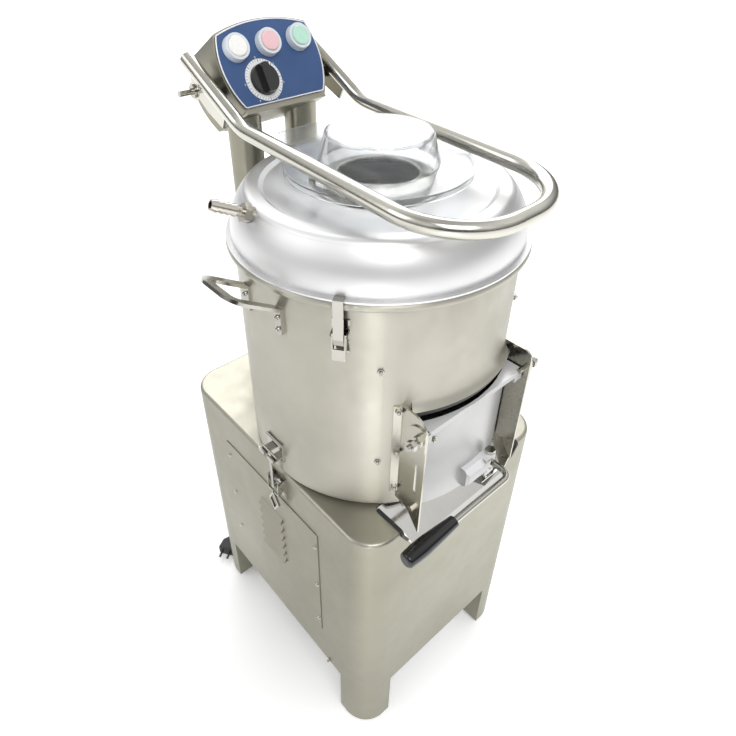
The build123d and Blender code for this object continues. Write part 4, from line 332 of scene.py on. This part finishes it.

# The cabinet, spun and cast finishes get painted light on their upward faces, strongest on the cast
# door
materials = {
    "cabinet": metal("cabinet_steel", (0.315, 0.305, 0.245), (0.272, 0.262, 0.208), roughness=0.38,
                     grain=(40.0, 40.0, 2600.0), grain_depth=0.10, smudge_size=4.0,
                     brushed=0.6, across=0.25, painted_top_light=(0.37, 0.36, 0.305)),
    "drum": metal("drum_steel", (0.45, 0.437, 0.378), (0.40, 0.387, 0.333), roughness=0.42,
                  grain=(900.0, 3.0, 2400.0), grain_depth=0.06, axis=drum_axis,
                  brushed=0.85, across=0.25),
    "sheet": metal("sheet_steel", (0.46, 0.445, 0.385), (0.38, 0.367, 0.31), roughness=0.26,
                   grain=(1400.0, 60.0, 60.0), grain_depth=0.08),
    "tube": metal("tube_steel", (0.53, 0.518, 0.465), (0.45, 0.44, 0.39), roughness=0.19,
                  grain=(300.0, 300.0, 300.0), grain_depth=0.05),
    "polished": metal("polished_steel", (0.42, 0.41, 0.375), (0.33, 0.32, 0.29), roughness=0.14,
                      grain=(500.0, 500.0, 500.0), grain_depth=0.03),
    "mirror": metal("mirror_steel", (0.70, 0.69, 0.66), (0.60, 0.59, 0.56), roughness=0.10,
                    grain=(500.0, 40.0, 40.0), grain_depth=0.004),
    "spun": metal("spun_aluminium", (0.65, 0.65, 0.652), (0.59, 0.59, 0.592), roughness=0.47,
                  grain=(2600.0, 3.0, 900.0), grain_depth=0.05, axis=drum_axis, smudge_size=3.0,
                  wear=0.04, painted_top_light=(0.70, 0.70, 0.705)),
    "cast": metal("cast_aluminium", (0.42, 0.42, 0.415), (0.35, 0.35, 0.345), roughness=0.34,
                  grain=(90.0, 90.0, 90.0), grain_depth=0.03, smudge_size=9.0, wear=0.03,
                  body=0.40, painted_top_light=(0.92, 0.92, 0.93)),
    "iron": metal("cast_iron", (0.20, 0.20, 0.21), (0.13, 0.13, 0.14), roughness=0.55,
                  grain=(260.0, 260.0, 260.0), grain_depth=0.35),
    "nozzle": metal("nickel_brass", (0.50, 0.475, 0.42), (0.42, 0.395, 0.345), roughness=0.22,
                    grain=(400.0, 400.0, 400.0), grain_depth=0.05),
    "bolt": metal("bolt_steel", (0.42, 0.41, 0.38), (0.30, 0.29, 0.27), roughness=0.22,
                  grain=(500.0, 500.0, 500.0), grain_depth=0.05),
    "blue": plastic("blue_fascia", (0.034, 0.085, 0.225), 0.52, texture=700.0, depth=0.04),
    "white": plastic("white_trim", (0.82, 0.83, 0.84), 0.30, coat=0.3),
    "ring": plastic("white_sockets", (0.66, 0.71, 0.74), 0.30, coat=0.2),
    "white_button": plastic("white_button", (0.86, 0.85, 0.82), 0.28, coat=0.3),
    "red_button": plastic("pink_button", (0.78, 0.50, 0.53), 0.28, coat=0.3),
    "green_button": plastic("green_button", (0.46, 0.72, 0.60), 0.28, coat=0.3),
    "black": plastic("black_plastic", black_tone, 0.13),
    "knob": plastic("black_knob", black_tone, 0.16),
    "motor": plastic("motor_paint", (0.05, 0.08, 0.10), 0.45, coat=0.2, texture=300.0, depth=0.12),
    "ink": plastic("dial_ink", (0.010, 0.010, 0.010), 0.5),
    "print": plastic("white_print", (0.85, 0.86, 0.87), 0.5),
    "rubber": rubber("black_rubber", rubber_tone),
    "cable": rubber("cable_sheath", rubber_tone, roughness=0.5),
    "grit": grit("abrasive", (0.018, 0.017, 0.016), (0.13, 0.125, 0.115)),
    "clear": clear_plastic("clear_plastic"),
}

nodes_by_finish = {
    "cabinet": ("base_cabinet", "corner_legs", "foot_pads", "service_panel", "control_columns",
                "control_box"),
    "polished": ("panel_screws", "shaft_bearings", "drum_handles", "door_pivot_bolts",
                 "feed_collar", "bow_pivots", "lid_latch_bases", "drum_latch_bases",
                 "drum_latch_keepers", "door_handle", "lid_latch_lever_front",
                 "lid_latch_strap_front", "lid_latch_lever_rear", "lid_latch_strap_rear",
                 "drum_latch_lever_left", "drum_latch_bail_left", "drum_latch_lever_right",
                 "drum_latch_bail_right", "drive_shaft"),
    "sheet": ("motor_shelf", "drain_outlet", "door_bracket_left", "door_bracket_right"),
    "motor": ("drive_motor",),
    "iron": ("bearing_housing", "driven_pulley", "motor_pulley"),
    "rubber": ("shaft_seal", "chute_edge_trim", "drive_belt", "door_seal", "bow_stops",
               "cord_gland", "power_plug"),
    "mirror": ("discharge_chute",),
    "drum": ("drum_shell",),
    "grit": ("abrasive_liner", "peeling_disc"),
    "bolt": ("drum_fasteners",),
    "spun": ("lid_dome",),
    "nozzle": ("water_inlet_nozzle",),
    "blue": ("control_fascia",),
    "white": ("timer_dial",),
    "ring": ("panel_switches",),
    "tube": ("guard_bow",),
    "clear": ("feed_cover",),
    "cast": ("discharge_door",),
    "black": ("door_grip",),
    "white_button": ("button_white",),
    "red_button": ("button_red",),
    "green_button": ("button_green",),
    "knob": ("timer_knob",),
    "cable": ("cord_coil", "power_cord"),
}

for finish, names in nodes_by_finish.items():
    for name in names:
        paints = nodes[name].data.materials
        paints.clear()
        paints.append(materials[finish])


def settle(name, data, body, finish):
    """Links a new piece, paints it and rides it on its body."""
    piece = bpy.data.objects.new(name, data)
    bpy.context.collection.objects.link(piece)
    piece.data.materials.append(materials[finish])
    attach(piece, body)
    return piece


# Floor and light

floor_half = 30.0
# The floor gives off more light far from the machine and in front of it
glow_near = 0.08
glow_far = 0.75
glow_front = 0.78
glow_ring = (1.3, 3.2)
glow_rows = (0.05, -0.75)


def make_stage():
    """A wide pale floor that brightens softly into the distance."""
    corners = ((-floor_half, -floor_half, 0), (floor_half, -floor_half, 0),
               (floor_half, floor_half, 0), (-floor_half, floor_half, 0))
    data = bpy.data.meshes.new("floor")
    data.from_pydata(corners, (), (range(len(corners)),))
    floor = bpy.data.objects.new("floor", data)
    bpy.context.collection.objects.link(floor)
    m = Material("pale_floor")
    cloud = m.noise(m.coords, scale=1.5, detail=2.0)
    around = m.soft_step(m.vector("LENGTH", m.coords), *glow_ring, glow_near, glow_far)
    ahead = m.soft_step(m.split(m.coords)["Y"], *glow_rows, glow_near, glow_front)
    tint = m.blend(m.ramp(cloud, 0.0, 0.3), (0.93, 0.93, 0.93), (0.90, 0.90, 0.90))
    floor.data.materials.append(m.set(
        Base_Color=tint, Roughness=0.9, Specular_IOR_Level=0.1,
        Emission_Color=(1.0, 1.0, 1.0, 1.0), Emission_Strength=m.math("MAXIMUM", around, ahead)))


# Sky: brightness by height, a darker patch of room, and soft uneven cards
sky_steps = ((0.0, 0.25), (0.14, 0.34), (0.34, 0.85), (0.55, 1.45), (0.80, 1.25), (1.0, 1.0))
sky_share = 0.70
room_direction = (-0.66, -0.70, 0.26)
room_edge = (0.86, 0.985)
room_dark = 0.38
card_stretch = (1.0, 1.0, 0.25)
card_scale = 2.4
card_range = (0.35, 0.65)
card_strength = (0.70, 1.30)

# Name, place, aim, size in metres and power in watts
area_lights = (
    ("key", (-1.0, -1.8, 3.1), (0, 0, 0.5), (1.6, 1.6), 36.0),
    ("front", (-1.20, -1.30, 0.28), (-0.2, -0.25, 0.28), (0.35, 0.45), 2.5),
    ("side", (-2.2, 0.9, 2.6), (0, 0, 0.9), (1.3, 1.6), 12.0),
    ("rear", (1.5, 2.0, 2.7), (0, 0, 0.8), (3.4, 2.4), 66.0),
)


def make_area_light(name, place, aim, size, power):
    data = bpy.data.lights.new(name, "AREA")
    data.shape = "RECTANGLE"
    data.size, data.size_y = size
    data.energy = power
    light = bpy.data.objects.new(name, data)
    bpy.context.collection.objects.link(light)
    light.location = place
    ahead = Vector(aim) - Vector(place)
    light.rotation_euler = ahead.to_track_quat("-Z", "Y").to_euler()


def make_sky():
    """A soft studio room for the metal to mirror."""
    world = bpy.data.worlds.new("studio")
    bpy.context.scene.world = world
    world.use_nodes = True
    n = Nodes(world.node_tree, "Generated")
    bands = n.new("ShaderNodeValToRGB")
    n.link(n.split(n.coords)["Z"], bands.inputs[0])
    top = max(value for _, value in sky_steps)
    elements = bands.color_ramp.elements
    while len(elements) < len(sky_steps):
        elements.new(1 / 2)
    for element, (place, value) in zip(elements, sky_steps):
        element.position = place
        element.color = (value / top, value / top, value / top, 1)
    toward = n.vector("DOT_PRODUCT", n.coords, Vector(room_direction).normalized())
    shade = n.soft_step(toward, *room_edge, 1.0, room_dark)
    cards = n.noise(n.stretch(card_stretch), scale=card_scale, detail=1.0)
    uneven = n.map_range(cards, *card_range, *card_strength)
    strength = n.math("MULTIPLY", n.math("MULTIPLY", shade, uneven), top * sky_share)
    background = n.tree.nodes["Background"]
    n.link(bands.outputs["Color"], background.inputs["Color"])
    n.link(strength, background.inputs["Strength"])


make_stage()
make_sky()
for row in area_lights:
    make_area_light(*row)
bpy.context.scene.view_settings.view_transform = "Standard"


# Mains cord: the route's points, with the coil's turns, as one spline

cord_diameter = 8.0
cord_round = 4
cord_smooth = 6
cord_order = 3
gland_end = (-70.0, 326.0, 200.0)
drop_steps = (
    (0.0, 0.0, 0.0),
    (0.0, 34.0, 0.0),
    (1.0, 66.0, -20.0),
    (4.0, 84.0, -60.0),
    (8.0, 80.0, -105.0),
    (15.0, 62.0, -147.0),
    (33.0, 38.0, -182.0),
)
coil_centre = (55.0, 380.0)
coil_mid_radius = 42.9
coil_pitch = 8.7
coil_turns = 4.5
coil_climb = 0.5
coil_steps = 14
lead_in = 35.0
lead_out = 42.0
coil_lead = 8.0
rise_steps = ((132.0, -11.0), (75.0, -10.0), (38.0, 0.0))
plug_tip = (-207.0, 286.0)
plug_heading = 215.0
plug_height = 15.0
plug_reach = 77.0


def coil_point(turn):
    """Centre of the cord in the coil: inwards below, outwards above."""
    middle = coil_turns / 2
    widest = coil_mid_radius + coil_pitch * middle / 2
    share = min(max((turn - middle) / coil_climb + 1 / 2, 0), 1)
    radius = widest - coil_pitch * (middle - abs(middle - turn))
    height = cord_diameter / 2 + coil_pitch * (share - sin(2 * pi * share) / (2 * pi))
    angle = 2 * pi * turn - pi / 2
    return (coil_centre[0] + radius * cos(angle), coil_centre[1] + radius * sin(angle), height)


def cord_points():
    """Centre line of the cord, from the gland by the coil to the plug."""
    points = [tuple(a + b for a, b in zip(gland_end, step)) for step in drop_steps]
    first = coil_point(0)
    last = coil_point(coil_turns)
    points.append((first[0] - coil_lead - lead_in, first[1], first[2]))
    points.append((first[0] - coil_lead, first[1], first[2]))
    count = int(coil_turns * coil_steps)
    points += [coil_point(coil_turns * i / count) for i in range(count + 1)]
    points.append((last[0] - coil_lead, last[1], last[2]))
    points.append((last[0] - coil_lead - lead_out, last[1], last[2]))
    heading = radians(plug_heading)
    end = (plug_tip[0] - plug_reach * cos(heading), plug_tip[1] - plug_reach * sin(heading),
           plug_height)
    for along, drop in rise_steps:
        points.append((end[0] - along * cos(heading), end[1] - along * sin(heading), end[2] + drop))
    points.append(end)
    return points


def make_cord():
    points = cord_points()
    data = bpy.data.curves.new("mains_lead", "CURVE")
    data.dimensions = "3D"
    data.bevel_depth = cord_diameter / 2 * mm
    data.bevel_resolution = cord_round
    data.resolution_u = cord_smooth
    data.use_fill_caps = True
    spline = data.splines.new("NURBS")
    spline.points.add(len(points) - 1)
    for place, point in zip(spline.points, points):
        place.co = (*at(*point), 1.0)
    spline.order_u = cord_order
    spline.use_endpoint_u = True
    cord = bpy.data.objects.new("mains_lead", data)
    bpy.context.collection.objects.link(cord)
    cord.data.materials.append(materials["cable"])
    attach(cord, "frame")
    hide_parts("power_cord", "cord_coil")


make_cord()


# Small pieces: dial marks, fascia edge, studs, bolts and the control head's screws

least_radius = 0.02


def loft(rings):
    """Mesh from rings of points, with both ends filled."""
    bm = bmesh.new()
    rows = [[bm.verts.new(point) for point in ring] for ring in rings]
    count = len(rows[0])
    for low, high in zip(rows, rows[1:]):
        for i in range(count):
            j = (i + 1) % count
            bm.faces.new((low[i], low[j], high[j], high[i]))
    bm.faces.new(reversed(rows[0]))
    bm.faces.new(rows[-1])
    bmesh.ops.recalc_face_normals(bm, faces=bm.faces)
    return bm


def join_meshes(name, parts):
    """One mesh from several bmeshes."""
    data = bpy.data.meshes.new(name)
    whole = bmesh.new()
    for part in parts:
        copy = bpy.data.meshes.new("part")
        part.to_mesh(copy)
        part.free()
        whole.from_mesh(copy)
        bpy.data.meshes.remove(copy)
    whole.to_mesh(data)
    whole.free()
    return data


def frame_of(normal):
    """Two directions square to a normal that isn't upright, the second as upright as it can be."""
    right = Vector((0, 0, 1)).cross(normal).normalized()
    return right, normal.cross(right)


def ring_of(centre, normal, radius, height, sides):
    """Points round a normal, at a height along it: lengths in millimetres."""
    right, up = frame_of(normal)
    middle = centre + normal * height * mm
    return [middle + (right * cos(2 * pi * i / sides) + up * sin(2 * pi * i / sides)) * radius * mm
            for i in range(sides)]


def turned_piece(centre, normal, profile, sides):
    """Solid of revolution about a normal: profile rows are radius and height."""
    return loft([ring_of(centre, normal, max(radius, least_radius), height, sides)
                 for radius, height in profile])


panel_tilt = radians(30.0)
panel_normal = Vector((0, -cos(panel_tilt), sin(panel_tilt)))
panel_right, panel_up = frame_of(panel_normal)
panel_foot = at(0, 204.0, 1071.0)
fascia_face = 2.5
dial_face = 3.9
dial_place = (-26.5, 31.0)
dial_edge = 29.4
dial_tick_count = 40
dial_tick_long = 3.6
dial_tick_short = 2.6
dial_tick_half = 0.22
dial_long_every = 5
dial_long_wider = 2
number_count = 6
number_ring = 32.7
number_height = 4.4
number_start = -3.0
number_step = 54.0
mark_rise = 0.12


def on_panel(x, y, rise):
    return panel_foot + (panel_right * x + panel_up * y + panel_normal * rise) * mm


def make_dial_marks():
    ticks = []
    for i in range(dial_tick_count):
        angle = 2 * pi * i / dial_tick_count
        is_long = i % dial_long_every == 0
        reach = dial_tick_long if is_long else dial_tick_short
        half = dial_tick_half * (dial_long_wider if is_long else 1)
        ring_low, ring_high = [], []
        for along, side in ((-reach, -half), (-reach, half), (0, half), (0, -half)):
            radius = dial_edge + along
            x = dial_place[0] + radius * sin(angle) + side * cos(angle)
            y = dial_place[1] + radius * cos(angle) - side * sin(angle)
            ring_low.append(on_panel(x, y, dial_face - mark_rise))
            ring_high.append(on_panel(x, y, dial_face + mark_rise))
        ticks.append(loft([ring_low, ring_high]))
    settle("dial_ticks", join_meshes("dial_ticks", ticks), "frame", "ink")


def make_dial_numbers():
    for i in range(number_count):
        angle = radians(number_start + number_step * i)
        data = bpy.data.curves.new(f"dial_number_{i}", "FONT")
        data.body = str(i)
        data.size = number_height * mm
        data.extrude = mark_rise * mm
        data.align_x = "CENTER"
        data.align_y = "CENTER"
        number = settle(f"dial_number_{i}", data, "frame", "print")
        x = dial_place[0] + number_ring * sin(angle)
        y = dial_place[1] + number_ring * cos(angle)
        place = on_panel(x, y, fascia_face)
        number.matrix_world = Matrix((
            (panel_right.x, panel_up.x, panel_normal.x, place.x),
            (panel_right.y, panel_up.y, panel_normal.y, place.y),
            (panel_right.z, panel_up.z, panel_normal.z, place.z),
            (0, 0, 0, 1),
        ))


facing_enough = 0.999
plane_slack = 1e-5
weld_gap = 1e-6
edge_bead_radius = 1.0
edge_bead_round = 3


def outer_loop(node, normal):
    """Points round the outer edge of a node's flat face that looks along a normal."""
    bm = bmesh.new()
    bm.from_mesh(nodes[node].data)
    front = max(normal.dot(v.co) for v in bm.verts)
    flat = {f for f in bm.faces if f.normal.dot(normal) > facing_enough
            and abs(normal.dot(f.calc_center_median()) - front) < plane_slack}
    links = {}
    for edge in bm.edges:
        if sum(f in flat for f in edge.link_faces) == 1:
            a, b = edge.verts
            links.setdefault(a, []).append(b)
            links.setdefault(b, []).append(a)
    start = max(links, key=lambda v: v.co.z)
    loop, here, last = [start.co.copy()], links[start][0], start
    while here is not start:
        loop.append(here.co.copy())
        onward = next(v for v in links[here] if v is not last)
        last, here = here, onward
    bm.free()
    return loop


def make_fascia_edge():
    """A thin white bead round the fascia."""
    points = outer_loop("control_fascia", panel_normal)
    data = bpy.data.curves.new("fascia_edge", "CURVE")
    data.dimensions = "3D"
    data.bevel_depth = edge_bead_radius * mm
    data.bevel_resolution = edge_bead_round
    spline = data.splines.new("POLY")
    spline.points.add(len(points) - 1)
    for place, point in zip(spline.points, points):
        place.co = (*point, 1.0)
    spline.use_cyclic_u = True
    settle("fascia_edge", data, "frame", "white")


def islands(node):
    """Corner lists of a node's separate solids, in the same order each run."""
    bm = bmesh.new()
    bm.from_mesh(nodes[node].data)
    bmesh.ops.remove_doubles(bm, verts=bm.verts, dist=weld_gap)
    seen, found = set(), []
    for first in bm.verts:
        if first in seen:
            continue
        seen.add(first)
        stack, group = [first], []
        while stack:
            vert = stack.pop()
            group.append(vert.co.copy())
            for edge in vert.link_edges:
                other = edge.other_vert(vert)
                if other not in seen:
                    seen.add(other)
                    stack.append(other)
        found.append(group)
    bm.free()
    return found


# Rows of radius and height
stud_profile = ((2.6, -0.4), (2.6, 1.3), (2.2, 2.0), (1.2, 2.5), (0.0, 2.6))
screw_profile = ((1.9, -0.3), (1.9, 0.9), (1.5, 1.5), (0.7, 1.5), (0.5, 0.9), (0.0, 0.9))
stud_sides = 16
screw_sides = 20
washer_sides = 24


def outward(angle):
    """The direction from the drum's axis at an angle from the front."""
    return Vector((sin(angle), -cos(angle), 0))


def make_drum_studs():
    """Rounded stud ends on the drum's nuts."""
    studs = []
    for group in islands("drum_fasteners"):
        centre = sum(group, Vector()) / len(group)
        out = centre - drum_axis
        out.z = 0
        out.normalize()
        outer = max((p - drum_axis).dot(out) for p in group)
        height = (max(p.z for p in group) + min(p.z for p in group)) / 2
        middle = Vector((centre.x, centre.y, height))
        tip = middle + out * (outer - (middle - drum_axis).dot(out))
        studs.append(turned_piece(tip, out, stud_profile, stud_sides))
    data = join_meshes("drum_stud_ends", studs)
    for face in data.polygons:
        face.use_smooth = True
    settle("drum_stud_ends", data, "frame", "bolt")


# A bolt's washer, nut and stud end, with radii as shares of the nut's
washer_share = 1.35
washer_low = -0.3
washer_top = 0.9
nut_sides = 6
nut_low = 0.8
nut_height_share = 0.75
nut_bevel = 0.5
nut_bevel_share = 0.9
stud_share = 0.56
stud_tip_share = 0.40
stud_taper = 0.8


def make_bolt(name, centre, normal, body, nut_radius, reach):
    """Washer, nut and stud end as one piece."""
    washer_radius = nut_radius * washer_share
    stud_radius = nut_radius * stud_share
    nut_top = nut_low + nut_radius * nut_height_share
    washer = ((washer_radius, washer_low), (washer_radius, washer_top), (0.0, washer_top))
    nut = ((nut_radius, nut_low), (nut_radius, nut_top - nut_bevel),
           (nut_radius * nut_bevel_share, nut_top))
    stud = ((stud_radius, nut_low), (stud_radius, reach - stud_taper),
            (nut_radius * stud_tip_share, reach), (0.0, reach))
    parts = [turned_piece(centre, normal, profile, sides)
             for profile, sides in ((washer, washer_sides), (nut, nut_sides), (stud, stud_sides))]
    settle(name, join_meshes(name, parts), body, "bolt")


drum_outer = 200.0
drum_bolt_angle = radians(39.0)
drum_bolt_height = 841.0
drum_bolt_size = (4.6, 7.0)
door_bolt_angle = radians(-20.0)
door_bolt_height = 715.0
door_bolt_size = (4.2, 6.0)
edge_bolt_place = (-198.5, -111.7, 141.0)
edge_bolt_size = (3.6, 6.0)
head_screws = (("head_screw_left", -22.0), ("head_screw_right", -10.0))
head_screw_height = -9.2


def make_loose_bolts():
    """The bolts on the drum's right, on the door and at the cabinet's lower left edge."""
    out = outward(drum_bolt_angle)
    place = drum_axis + (out * drum_outer + Vector((0, 0, drum_bolt_height))) * mm
    make_bolt("drum_side_bolt", place, out, "frame", *drum_bolt_size)
    out = outward(door_bolt_angle)
    door = nodes["discharge_door"].data
    tree = BVHTree.FromPolygons([v.co for v in door.vertices],
                                [tuple(f.vertices) for f in door.polygons])
    start = drum_axis + (out * 2 * drum_outer + Vector((0, 0, door_bolt_height))) * mm
    place, normal, _, _ = tree.ray_cast(start, -out)
    make_bolt("door_bolt", place, normal, "door", *door_bolt_size)
    make_bolt("cabinet_edge_bolt", at(*edge_bolt_place), Vector((-1, 0, 0)), "frame",
              *edge_bolt_size)


def make_head_screws():
    """Two dark screw ends in the strip under the fascia."""
    for name, x in head_screws:
        screw = turned_piece(on_panel(x, head_screw_height, 0), panel_normal, screw_profile,
                             screw_sides)
        settle(name, join_meshes(name, [screw]), "frame", "black")


make_dial_marks()
make_dial_numbers()
make_loose_bolts()
make_head_screws()
make_fascia_edge()
make_drum_studs()
